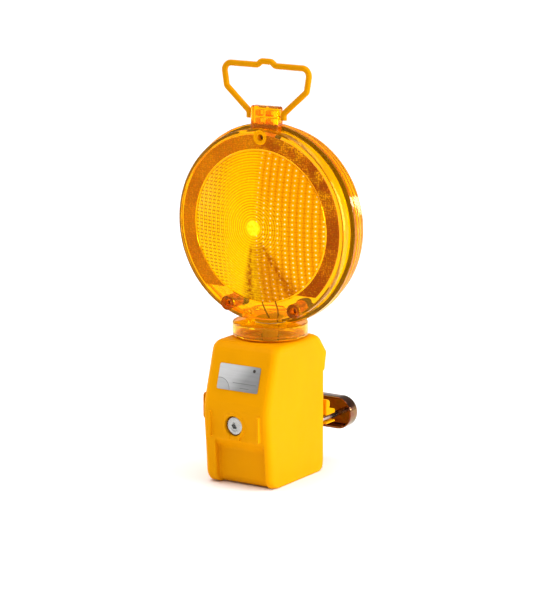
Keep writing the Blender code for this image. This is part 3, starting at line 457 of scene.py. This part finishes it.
def optic_plastic():
    """Amber optic: rings on the left, small lenses on the right, a painted bright middle, a fan of painted
    shade, and painted emission over the whole pattern.
    """
    s = Shader("amber_optic", (1.0, 0.6, 0.0), 0.22, Transmission_Weight=0.10, IOR=1.3,
               Specular_IOR_Level=0.05)
    s.set("Specular Tint", (1.0, 0.8, 0.3, 1.0))
    x, z, radius, angle = head_polar(s)
    rings = optic_rings(s, radius)
    left, right = optic_left(s, x, z, rings), optic_right(s, x, z, radius, rings)
    tone = s.mix(s.range(x, -4 * MM, 10 * MM), left, right)
    top = s.range(z, 10 * MM, 66 * MM, 0.0, 0.5)
    tone = s.mix(top, tone, s.mix(0.5, tone, (0.86, 0.27, 0.0)))
    # Painted shade: a darker fan under the middle.
    tone = s.mix(optic_painted_shade_fan(s, radius, angle), tone, (0.40, 0.085, 0.0))
    # Painted light: a bright middle in place of the LED seen through the lens.
    painted_spot = s.range(radius, SPOT_RADIUS * 0.72, SPOT_RADIUS * 1.15, 1.0, 0.0)
    painted_spot_tone = s.ramp(s.noise(260, 2.0), (0.35, (1.0, 0.72, 0.0)), (0.65, (1.0, 0.92, 0.02)))
    tone = s.mix(painted_spot, tone, painted_spot_tone)
    s.link(tone, "Base Color")
    # Painted light: the optic's colours are also emitted, so the whole pattern shines.
    s.link(tone, "Emission Color")
    s.set("Emission Strength", 0.16)
    s.link(s.range(s.noise(300, 3.0), 0.3, 0.7, 0.16, 0.30), "Roughness")
    s.bump(s.noise(900, 3.0), 0.10, 0.0002)
    return s


OPTIC = optic_plastic()


def assign(piece, shader):
    piece.data.materials.clear()
    piece.data.materials.append(shader.material)


# ---------------------------------------------------------------- mesh helpers


def place(name, bm, shader, body, smooth_angle=35):
    """Makes the bmesh a shaded piece that rides on a body."""
    bmesh.ops.recalc_face_normals(bm, faces=bm.faces)
    mesh = bpy.data.meshes.new(name)
    bm.to_mesh(mesh)
    bm.free()
    mesh.shade_smooth()
    mesh.set_sharp_from_angle(angle=radians(smooth_angle))
    made = bpy.data.objects.new(name, mesh)
    SCENE.collection.objects.link(made)
    assign(made, shader)
    if body:
        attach(made, body)
    return made


def close_rings(bm, pairs, steps):
    """Faces between pairs of turned rings, where a ring on the axis is a single vertex."""
    for low, high in pairs:
        for i in range(steps):
            j = (i + 1) % steps
            quad = [low[i % len(low)], low[j % len(low)], high[j % len(high)], high[i % len(high)]]
            corners = list(dict.fromkeys(quad))
            if len(corners) > 2:
                bm.faces.new(corners)


def turned(name, profile, steps, shader, body, centre=(0, 0, 0), head=False):
    """A closed profile of (radius, height) points turned about Z, or about the head's axis (height is -Y)."""
    bm = bmesh.new()
    rings = []
    for radius, height in profile:
        row = []
        for i in range(steps if radius > 1e-7 else 1):
            angle = 2 * pi * i / steps
            a, b = radius * cos(angle), radius * sin(angle)
            point = (a, -height, b) if head else (a, b, height)
            row.append(bm.verts.new(Vector(point) + Vector(centre)))
        rings.append(row)
    open_ends = len(rings[0]) == 1 and len(rings[-1]) == 1
    pairs = list(zip(rings, rings[1:])) + ([] if open_ends else [(rings[-1], rings[0])])
    close_rings(bm, pairs, steps)
    return place(name, bm, shader, body)


def box_mesh(low, high):
    low, high = Vector(low), Vector(high)
    bm = bmesh.new()
    bmesh.ops.create_cube(bm, size=1.0)
    bmesh.ops.scale(bm, vec=high - low, verts=bm.verts)
    bmesh.ops.translate(bm, vec=(low + high) / 2, verts=bm.verts)
    return bm


def cutter_box(low, high):
    return temporary(box_mesh(low, high))


def cutter_cylinder(start, length, radius, steps=48):
    """A cylinder from start along +Y."""
    bm = bmesh.new()
    bmesh.ops.create_cone(bm, cap_ends=True, segments=steps, radius1=radius, radius2=radius, depth=length)
    middle = Vector(start) + Vector((0, length / 2, 0))
    matrix = Matrix.Translation(middle) @ Matrix.Rotation(pi / 2, 4, "X")
    bmesh.ops.transform(bm, matrix=matrix, verts=bm.verts)
    return temporary(bm)


def temporary(bm):
    """A tool for carve, which removes it."""
    bmesh.ops.recalc_face_normals(bm, faces=bm.faces)
    mesh = bpy.data.meshes.new("temporary")
    bm.to_mesh(mesh)
    bm.free()
    made = bpy.data.objects.new("temporary", mesh)
    SCENE.collection.objects.link(made)
    return made


def carve(piece, *others, operation="DIFFERENCE"):
    """Booleans applied at once; the tools are removed."""
    for other in others:
        modifier = piece.modifiers.new("carve", "BOOLEAN")
        modifier.operation = operation
        modifier.object = other
    bake(piece)
    for other in others:
        bpy.data.objects.remove(other)


def bake(piece):
    """Applies the piece's modifiers."""
    bpy.context.view_layer.update()
    graph = bpy.context.evaluated_depsgraph_get()
    mesh = bpy.data.meshes.new_from_object(piece.evaluated_get(graph))
    piece.modifiers.clear()
    piece.data = mesh


def resmooth(piece, angle=35):
    piece.data.shade_smooth()
    piece.data.set_sharp_from_angle(angle=radians(angle))


def joined_rings(bm, rings):
    """Sides between neighbouring rings of vertices."""
    count = len(rings[0])
    for low, high in zip(rings, rings[1:]):
        for i in range(count):
            j = (i + 1) % count
            bm.faces.new((low[i], low[j], high[j], high[i]))


def softened(node, voxel, rounds, shader, keep, rings=()):
    """A copy of a CAD node with every edge rolled over, as moulded pieces have; keep is its share of faces.

    Rings of points, lowest first, describe a block that is fused on before the edges are rolled over.
    """
    source = NODES[node]
    made = bpy.data.objects.new(node + "_moulded", source.data.copy())
    SCENE.collection.objects.link(made)
    made.matrix_world = source.matrix_world.copy()
    if rings:
        back = made.matrix_world.inverted()
        bm = bmesh.new()
        bm.from_mesh(made.data)
        layers = [[bm.verts.new(back @ Vector(point)) for point in ring] for ring in rings]
        joined_rings(bm, layers)
        bm.faces.new(layers[0][::-1])
        bm.faces.new(layers[-1])
        bm.to_mesh(made.data)
        bm.free()
    remesh = made.modifiers.new("remesh", "REMESH")
    remesh.mode = "VOXEL"
    remesh.voxel_size = voxel
    smooth = made.modifiers.new("smooth", "SMOOTH")
    smooth.factor = 0.5
    smooth.iterations = rounds
    thin = made.modifiers.new("thin", "DECIMATE")
    thin.ratio = keep
    bake(made)
    made.data.shade_smooth()
    assign(made, shader)
    body = next(b for b, names in frame["record"]["behaviour"]["bodies"].items() if node in names)
    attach(made, body)
    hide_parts(node)
    return made


def arc(centre, radius, start, end, steps):
    """Points on an arc, its angles in degrees."""
    angles = [radians(start + (end - start) * i / steps) for i in range(steps + 1)]
    return [(centre[0] + radius * cos(a), centre[1] + radius * sin(a)) for a in angles]


# ---------------------------------------------------------------- housing


def make_housing():
    """The housing, with a low lip round the bolt's well and a full left column beside its front recess."""
    rings = []
    for z, front, panel in COLUMN_PROFILE:
        front_y, back_y = front * MM, panel * MM + COLUMN_OVERLAP
        rings.append([(COLUMN_LEFT, front_y, z * MM), (COLUMN_RIGHT, front_y, z * MM),
                      (COLUMN_RIGHT, back_y, z * MM), (COLUMN_LEFT, back_y, z * MM)])
    shell = softened("housing_shell", 0.7 * MM, 5, YELLOW, 0.5, rings)
    for vertex in shell.data.vertices:
        x, y, z = vertex.co
        if y < WELL_LIP_Y and hypot(x, z - BOLT_Z) < WELL_REACH:
            vertex.co.y = WELL_LIP_Y + (y - WELL_LIP_Y) * 0.12


make_housing()
softened("rear_saddle", 0.6 * MM, 4, YELLOW, 0.6)
softened("battery_cover", 0.6 * MM, 4, YELLOW, 0.5)
softened("mode_button", 0.45 * MM, 4, YELLOW, 0.6)


def make_ribs():
    """Crisp moulded ribs on the belly, over the softened ones."""
    for side, name in ((-1, "left"), (1, "right")):
        middle = RIB_CENTRE + side * RIB_SPREAD
        rounded_block(f"belly_rib_{name}", (middle - 1.3 * MM, RIB_Y, 49.0 * MM),
                      (middle + 1.3 * MM, BELLY_Y, 74.2 * MM), 0.5 * MM, YELLOW, "base")


# ---------------------------------------------------------------- lens


def dome_height(r, top, base, radius):
    """Height of a spherical cap at distance r from its axis."""
    rise = top - base
    sphere = (radius**2 + rise**2) / (2 * rise)
    return top - sphere + sqrt(max(sphere**2 - r**2, 0.0))


def relief(r, angle):
    """Height of the lens pattern: Fresnel rings on one half, a grid of small pillow lenses on the other."""
    if r < SPOT_RADIUS or r > OPTIC_RADIUS - 0.8 * MM:
        return 0.0
    x, z = r * cos(angle), r * sin(angle)
    share = (r - SPOT_RADIUS) / RING_PITCH % 1.0
    ring = 0.42 * MM * (1.0 - share)
    u = 2 * ((x / COLUMN) % 1.0) - 1
    v = 2 * ((z / ROW) % 1.0) - 1
    pillow = 0.62 * MM * (1 - u**4) * (1 - v * v)
    weight = min(max((x + 2 * MM) / (4 * MM), 0.0), 1.0)
    return ring * (1 - weight) + pillow * weight


def make_optic():
    """The domed optic: the pattern on its face, a smooth inside 1.9 mm behind it."""
    steps = 480
    rows_per_ring = 3
    thickness = 1.9 * MM
    top, base = FACE_Y + DOME_HEIGHT - 0.7 * MM, FACE_Y - 0.5 * MM
    radii = [0.0, 3 * MM, 6 * MM]
    r = SPOT_RADIUS
    while r < OPTIC_RADIUS - 0.3 * MM:
        radii.append(r)
        r += RING_PITCH / rows_per_ring
    radii.append(OPTIC_RADIUS)
    rows = [(r, 0.0, True) for r in radii]
    rows += [(r, thickness, False) for r in (OPTIC_RADIUS, 60 * MM, 30 * MM, 0.0)]
    bm = bmesh.new()
    rings = []
    for r, depth, patterned in rows:
        ring = []
        for i in range(steps if r > 0 else 1):
            angle = 2 * pi * i / steps
            height = dome_height(r, top - depth, base - depth, OPTIC_RADIUS)
            if patterned:
                height += relief(r + 1e-7, angle)
            ring.append(bm.verts.new((r * cos(angle), -height, HEAD_Z + r * sin(angle))))
        rings.append(ring)
    close_rings(bm, zip(rings, rings[1:]), steps)
    place("lens_optic", bm, OPTIC, "head", 25)


def seat_cutters():
    """Tools that cut the flat seat and the middle opening where the head stands on the neck."""
    return (cutter_box((-60 * MM, -60 * MM, 120 * MM), (60 * MM, 60 * MM, SEAT_Z)),
            cutter_box((-23 * MM, -13.5 * MM, 140 * MM), (23 * MM, 13.5 * MM, 166 * MM)))


def make_lens_body():
    """Cover of the reflector, rim, side wall and flange, with the three screw posts."""
    profile = [(OPTIC_RADIUS + 0.15 * MM, FACE_Y - 0.4 * MM), (OPTIC_RADIUS + 0.6 * MM, FACE_Y - 0.2 * MM),
               (OPTIC_RADIUS + 1.2 * MM, FACE_Y - 0.2 * MM), (OPTIC_RADIUS + 1.7 * MM, FACE_Y - 0.6 * MM),
               (RING_RADIUS - 0.3 * MM, FACE_Y - 0.5 * MM), (RING_RADIUS + 0.5 * MM, FACE_Y),
               (RIM_RADIUS - 1.0 * MM, FACE_Y), (RIM_RADIUS - 0.3 * MM, FACE_Y - 0.3 * MM),
               (RIM_RADIUS, FACE_Y - 1.0 * MM), (RIM_RADIUS, 6.2 * MM), (RIM_RADIUS + 0.5 * MM, 5.6 * MM),
               (FLANGE_RADIUS - 0.6 * MM, 5.4 * MM), (FLANGE_RADIUS, 4.8 * MM), (FLANGE_RADIUS, 1.0 * MM),
               (FLANGE_RADIUS - 0.5 * MM, 0.5 * MM), (RIM_RADIUS - 2.6 * MM, 0.5 * MM),
               (RIM_RADIUS - 2.6 * MM, FACE_Y - 3.0 * MM), (OPTIC_RADIUS + 0.15 * MM, FACE_Y - 2.4 * MM)]
    body = turned("lens_body", profile, 180, AMBER, "head", (0, 0, HEAD_Z), head=True)
    outer, inner = RING_RADIUS - 0.4 * MM, OPTIC_RADIUS + 1.75 * MM
    above, floor_y = FACE_Y + 2 * MM, FACE_Y - 2.35 * MM
    bed_profile = [(outer, above), (outer, floor_y), (inner, floor_y), (inner, above)]
    bed = turned("bed", bed_profile, 180, AMBER, None, (0, 0, HEAD_Z), head=True)
    carve(bed, cutter_box((-120 * MM, -30 * MM, 100 * MM), (120 * MM, 0, RETRO_CHORD_Z - 0.1 * MM)))
    holes = []
    for x, z in SCREW_PLACES.values():
        holes.append(cutter_cylinder((x, -26 * MM, HEAD_Z + z), 25.4 * MM, 7.45 * MM))
    carve(body, bed, *seat_cutters(), *holes)
    resmooth(body)
    for name, (x, z) in SCREW_PLACES.items():
        post = [(7.4 * MM, 18.4 * MM), (7.4 * MM, 0.5 * MM), (2.1 * MM, 0.5 * MM), (2.1 * MM, 11.3 * MM),
                (3.9 * MM, 11.3 * MM), (3.9 * MM, 14.6 * MM), (3.3 * MM, 15.2 * MM), (3.3 * MM, 18.2 * MM),
                (3.7 * MM, 18.6 * MM), (5.2 * MM, 18.7 * MM), (5.6 * MM, 19.5 * MM), (6.9 * MM, 19.5 * MM)]
        shader = AMBER_BOSS if name == "top" else AMBER_POST
        turned(f"screw_post_{name}", post, 48, shader, "head", (x, 0, HEAD_Z + z), head=True)
    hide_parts("front_lens")


def make_rear_shell():
    """Domed rear shell with fine concentric steps on the outside, side wall and flange."""
    back = 27.0 * MM
    thickness = 2.6 * MM
    inner_radius = 88 * MM
    pitch, step_height = 2.25 * MM, 0.30 * MM
    outside, inside = [], []
    r = 0.0
    while r < RING_RADIUS:
        step = step_height if int(round(r / pitch)) % 2 else 0.0
        outside.append((r, -(dome_height(r, back - 0.5 * MM, FACE_Y - 0.5 * MM, RING_RADIUS) + step)))
        r += pitch
    for i in range(8):
        r = inner_radius * i / 7
        inside.append((r, -dome_height(r, back - thickness, FACE_Y - thickness, inner_radius)))
    profile = inside + [(RIM_RADIUS - 2.6 * MM, -FACE_Y + 3.2 * MM), (RIM_RADIUS - 2.6 * MM, -0.5 * MM),
                        (FLANGE_RADIUS - 0.5 * MM, -0.5 * MM), (FLANGE_RADIUS, -1.0 * MM),
                        (FLANGE_RADIUS, -4.4 * MM), (FLANGE_RADIUS - 0.5 * MM, -4.9 * MM),
                        (RIM_RADIUS + 0.5 * MM, -5.0 * MM),
                        (RIM_RADIUS, -5.6 * MM), (RIM_RADIUS, -FACE_Y + 1.2 * MM),
                        (RIM_RADIUS - 1.2 * MM, -FACE_Y)] + outside[::-1]
    shell = turned("rear_lens", profile, 180, AMBER, "head", (0, 0, HEAD_Z), head=True)
    carve(shell, *seat_cutters())
    resmooth(shell)
    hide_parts("rear_shell")


make_optic()
make_lens_body()
make_rear_shell()


def prism_height(row, column):
    """Small uneven heights, so that neighbouring prisms catch the light differently."""
    return 0.32 * MM * ((sin(row * 12.9898 + column * 78.233) * 43758.5453) % 1.0)


def make_reflector():
    """Annulus of micro-prisms let into the face, open at the bottom where the window is."""
    outer, inner = RING_RADIUS - 0.5 * MM, OPTIC_RADIUS + 1.8 * MM
    front, back = FACE_Y - 0.45 * MM, FACE_Y - 2.3 * MM
    rows, steps = 13, 500
    bm = bmesh.new()
    grid = []
    for row in range(rows + 1):
        radius = inner + (outer - inner) * row / rows
        start = asin((RETRO_CHORD_Z - HEAD_Z) / radius)
        line = []
        for step in range(steps + 1):
            angle = start + (pi - 2 * start) * step / steps
            x, z = radius * cos(angle), radius * sin(angle)
            edge = row in (0, rows) or step in (0, steps)
            height = front - (0 if edge else prism_height(row, step))
            line.append((bm.verts.new((x, -height, HEAD_Z + z)), bm.verts.new((x, -back, HEAD_Z + z))))
        grid.append(line)
    for row in range(rows):
        for step in range(steps):
            corners = [grid[row][step], grid[row + 1][step], grid[row + 1][step + 1], grid[row][step + 1]]
            bm.faces.new([corner[0] for corner in corners])
            bm.faces.new([corner[1] for corner in reversed(corners)])
    for step in range(steps):
        for line in (grid[0], grid[-1]):
            bm.faces.new((line[step][0], line[step + 1][0], line[step + 1][1], line[step][1]))
    for row in range(rows):
        for step in (0, steps):
            low, high = grid[row][step], grid[row + 1][step]
            bm.faces.new((low[0], high[0], high[1], low[1]))
    bmesh.ops.dissolve_degenerate(bm, dist=1e-7, edges=bm.edges)
    ring = place("reflector_ring", bm, REFLECTOR, "head", 8)
    post_z = HEAD_Z + SCREW_PLACES["top"][1]
    carve(ring, cutter_cylinder((0, -30 * MM, post_z), 30 * MM, 7.5 * MM))
    resmooth(ring, 8)
    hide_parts("retro_ring")


make_reflector()


def make_screws():
    """Pan-head screws with a cross recess, each through a rubber sleeve behind its post."""
    for name, (x, z) in SCREW_PLACES.items():
        centre = (x, 0, HEAD_Z + z)
        profile = [(0, 13.7 * MM), (1.2 * MM, 13.65 * MM), (2.4 * MM, 13.3 * MM),
                   (3.3 * MM, 12.7 * MM), (3.6 * MM, 12.2 * MM), (3.6 * MM, 11.6 * MM),
                   (1.7 * MM, 11.5 * MM), (1.7 * MM, -13.0 * MM), (0, -14.2 * MM)]
        screw = turned(f"cross_screw_{name}", profile, 36, SCREW_STEEL, "head", centre, head=True)
        tools = [cutter_box((x - a, -14.5 * MM, centre[2] - b), (x + a, -12.4 * MM, centre[2] + b))
                 for a, b in ((2.0 * MM, 0.4 * MM), (0.4 * MM, 2.0 * MM))]
        carve(screw, *tools)
        resmooth(screw)
        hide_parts(f"lens_screw_{name}")
        profile = [(8.6 * MM, -0.6 * MM), (8.6 * MM, -8.4 * MM), (8.0 * MM, -9.0 * MM),
                   (2.2 * MM, -9.0 * MM), (2.2 * MM, -0.6 * MM)]
        sleeve = turned(f"rubber_sleeve_{name}", profile, 48, BLACK, "head", centre, head=True)
        chamber = cutter_cylinder((0, -20 * MM, HEAD_Z), 40 * MM, 92.4 * MM, 180)
        carve(sleeve, chamber, operation="INTERSECT")
        resmooth(sleeve)
        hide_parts(f"screw_grommet_{name}")


make_screws()


def tube(name, points, radius, shader, body):
    """A round bar along a path of points."""
    curve = bpy.data.curves.new(name, "CURVE")
    curve.dimensions = "3D"
    curve.bevel_depth = radius
    curve.bevel_resolution = 6
    curve.use_fill_caps = True
    spline = curve.splines.new("POLY")
    spline.points.add(len(points) - 1)
    for target, point in zip(spline.points, points):
        target.co = (*point, 1.0)
    made = bpy.data.objects.new(name, curve)
    SCENE.collection.objects.link(made)
    assign(made, shader)
    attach(made, body)
    return made


def make_window_arch():
    """Bead along the top of the moulded dam between the lamp chamber and the neck."""
    points = []
    for i in range(33):
        angle = pi * i / 32
        points.append((27 * MM * cos(angle), 8 * MM, 158.5 * MM + 9 * MM * sin(angle)))
    tube("dam_bead", points, 0.8 * MM, AMBER_POST, "head")


make_window_arch()


def rounded_block(name, low, high, radius, shader, body):
    """A box with rounded edges."""
    bm = box_mesh(low, high)
    bmesh.ops.bevel(bm, geom=bm.edges, offset=radius, segments=4, profile=0.5, affect="EDGES")
    return place(name, bm, shader, body)


def make_hinge_block():
    """Block over the rim that carries the handle, with four cells open to the rear."""
    block = rounded_block("hinge_block", (-15.8 * MM, -12.2 * MM, 341 * MM),
                          (15.8 * MM, -0.6 * MM, 368.6 * MM), 2.4 * MM, AMBER_DEEP, "head")
    tools = [cutter_cylinder((0, -30 * MM, HEAD_Z), 60 * MM, RIM_RADIUS + 0.1 * MM, 180)]
    for z in (351.0 * MM, 358.8 * MM):
        for left, right in ((-10.2 * MM, -1.2 * MM), (1.2 * MM, 10.2 * MM)):
            tools.append(cutter_box((left, -9.8 * MM, z), (right, 10 * MM, z + 5.4 * MM)))
    carve(block, *tools)
    resmooth(block)


make_hinge_block()
make_ribs()


# ---------------------------------------------------------------- neck


def make_neck():
    """Hollow collar, and under it the spigot with its groove for the retaining clip."""
    collar = [(36.6 * MM, 155.0 * MM), (37.25 * MM, 154.3 * MM), (37.25 * MM, 142.6 * MM),
              (36.6 * MM, 141.9 * MM), (30.2 * MM, 141.9 * MM), (30.2 * MM, 135.9 * MM),
              (28.8 * MM, 135.9 * MM), (28.8 * MM, 133.7 * MM), (30.2 * MM, 133.7 * MM),
              (30.2 * MM, 132.0 * MM), (27.0 * MM, 132.0 * MM), (27.0 * MM, 144.2 * MM),
              (34.6 * MM, 144.2 * MM), (34.6 * MM, 152.6 * MM), (16.0 * MM, 152.6 * MM),
              (16.0 * MM, 155.0 * MM)]
    made = turned("neck_ring", collar, 120, AMBER_NECK, "head")
    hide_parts("neck_collar")


make_neck()


# ---------------------------------------------------------------- handle


def fillet(points, radii):
    """A flat path through corner points, each inner corner rounded to its radius."""
    steps = 10
    path = [points[0]]
    for before, corner, after, radius in zip(points, points[1:], points[2:], radii):
        into = (Vector(before) - Vector(corner)).normalized()
        out = (Vector(after) - Vector(corner)).normalized()
        half_angle = into.angle(out) / 2
        middle = Vector(corner) + (into + out).normalized() * radius / sin(half_angle)
        tangent = radius * cos(half_angle) / sin(half_angle)
        start = Vector(corner) + into * tangent - middle
        end = Vector(corner) + out * tangent - middle
        path += [tuple(middle + start.slerp(end, i / steps) * radius) for i in range(steps + 1)]
    return path + [points[-1]]


def make_handle():
    """Bail of round bar with a raised grip; its legs run down beside the hinge block."""
    leg, grip_z, rise = 19.8 * MM, 407.8 * MM, 3.8 * MM
    half = [(leg, 355.8 * MM), (leg, 362.2 * MM), (45.9 * MM, 385.1 * MM), (49.6 * MM, grip_z),
            (10.4 * MM, grip_z), (5.6 * MM, grip_z + rise)]
    corners = [(-x, z) for x, z in half] + [(x, z) for x, z in half[::-1]]
    radii = [5 * MM, 5 * MM, 7.5 * MM, 4 * MM, 4 * MM]
    path = fillet(corners, radii + radii[::-1])
    made = tube("bail_handle", [(x, PIVOT_Y, z) for x, z in path], 3.0 * MM, HANDLE_YELLOW, "bail")
    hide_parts("handle")


make_handle()


# ---------------------------------------------------------------- clamp


def make_clamp_bar():
    """Pressed cup with rounded ends, open towards the housing, with a hole at each end for its rod."""
    floor_y, back, rim, wall = 86.8 * MM, 88.6 * MM, 72.5 * MM, 1.8 * MM
    # (distance in from the outline, y) round the wall's section
    section = [(wall + 2.6 * MM, floor_y), (wall + 1.3 * MM, floor_y - 0.4 * MM),
               (wall + 0.4 * MM, floor_y - 1.3 * MM),
               (wall, floor_y - 2.6 * MM), (wall, rim + 0.4 * MM), (wall - 0.4 * MM, rim), (0.4 * MM, rim),
               (0, rim + 0.4 * MM), (0, floor_y - 3.2 * MM), (0.25 * MM, floor_y - 1.6 * MM),
               (1.0 * MM, back - 1.6 * MM), (2.2 * MM, back - 0.5 * MM), (4.6 * MM, back)]
    bm = bmesh.new()
    rows = []
    for inset, y in section:
        radius = BAR_RADIUS - inset
        points = arc((ROD_X, ROD_Z), radius, 90, -90, 28) + arc((-ROD_X, ROD_Z), radius, -90, -270, 28)
        rows.append([bm.verts.new((x, y, z)) for x, z in points])
    joined_rings(bm, rows)
    bm.faces.new(rows[0])
    bm.faces.new(rows[-1])
    bar = place("clamp_cup", bm, CHROMATE, "clamp")
    carve(bar, *[cutter_cylinder((x, 80 * MM, ROD_Z), 20 * MM, 3.35 * MM) for x in (ROD_X, -ROD_X)])
    resmooth(bar)
    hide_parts("clamp_bar")


make_clamp_bar()


def make_bolt():
    """Washer-head bolt with a rolled edge, a shallow dish and a hex socket with a chamfered mouth."""
    face = 64.2 * MM
    profile = [(0, face - 0.35 * MM), (4.6 * MM, face - 0.35 * MM), (5.4 * MM, face), (8.2 * MM, face),
               (8.8 * MM, face - 0.25 * MM), (9.15 * MM, face - 0.8 * MM), (9.2 * MM, face - 1.4 * MM),
               (9.2 * MM, face - 4.8 * MM), (4.0 * MM, face - 4.8 * MM), (4.0 * MM, 55.0 * MM),
               (3.4 * MM, 55.0 * MM), (3.4 * MM, 53.9 * MM), (4.0 * MM, 53.9 * MM),
               (4.0 * MM, 42.0 * MM), (0, 41.4 * MM)]
    bolt = turned("socket_bolt", profile, 96, STEEL, "bolt", (0, 0, BOLT_Z), head=True)
    socket = ((-1.0 * MM, 4.9 * MM), (0.35 * MM, 4.0 * MM), (0.36 * MM, 3.6 * MM), (3.2 * MM, 3.6 * MM))
    bm = bmesh.new()
    rows = []
    for depth, radius in socket:
        row = []
        for i in range(6):
            x, z = radius * cos(pi / 3 * i), radius * sin(pi / 3 * i)
            row.append(bm.verts.new((x, depth - face, BOLT_Z + z)))
        rows.append(row)
    joined_rings(bm, rows)
    bm.faces.new(rows[0])
    bm.faces.new(rows[-1])
    carve(bolt, temporary(bm))
    resmooth(bolt)
    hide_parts("clamp_bolt")


make_bolt()


# ---------------------------------------------------------------- CAD nodes shown as they are

KEPT_NODES = (
    (ROD_METAL, ("clamp_rod_left", "clamp_rod_right")),
    (CHROMATE, ("rod_nut_left", "rod_nut_right", "rod_washer_left", "rod_washer_right")),
    (STEEL, ("bolt_washer", "bolt_clip", "clamp_stirrup", "neck_clip", "battery_spring_centre",
             "battery_spring_corner")),
    (BLACK, ("shell_gasket", "switch_body")),
    (SEAL, ("neck_seal",)),
    (NYLON, ("contact_carrier", "slip_contact_lower", "slip_contact_upper", "led_pillar")),
    (WRAP, ("battery_case",)),
    (BRASS, ("contact_centre", "contact_corner")),
    (SOLDER_MASK, ("led_board",)),
    (RESIN, ("led_emitter", "light_sensor")),
    (RED_WIRE, ("battery_lead_1", "head_lead_2")),
    (DARK_WIRE, ("battery_lead_2", "head_lead_1")),
    (FOIL, ("label_plate",)),
)
for shader, names in KEPT_NODES:
    for name in names:
        assign(NODES[name], shader)


# ---------------------------------------------------------------- floor


def make_floor():
    """A pale sweep with a faint unevenness, just under the lamp."""
    shader = Shader("studio_floor", (0.92, 0.92, 0.92), 0.7)
    tone = shader.ramp(shader.noise(3, 2.0), (0.3, 0.90), (0.7, 0.93))
    shader.link(tone, "Base Color")
    bm = bmesh.new()
    bmesh.ops.create_grid(bm, x_segments=2, y_segments=2, size=60)
    floor = place("studio_floor", bm, shader, None)
    floor.location.z = -0.0002


make_floor()
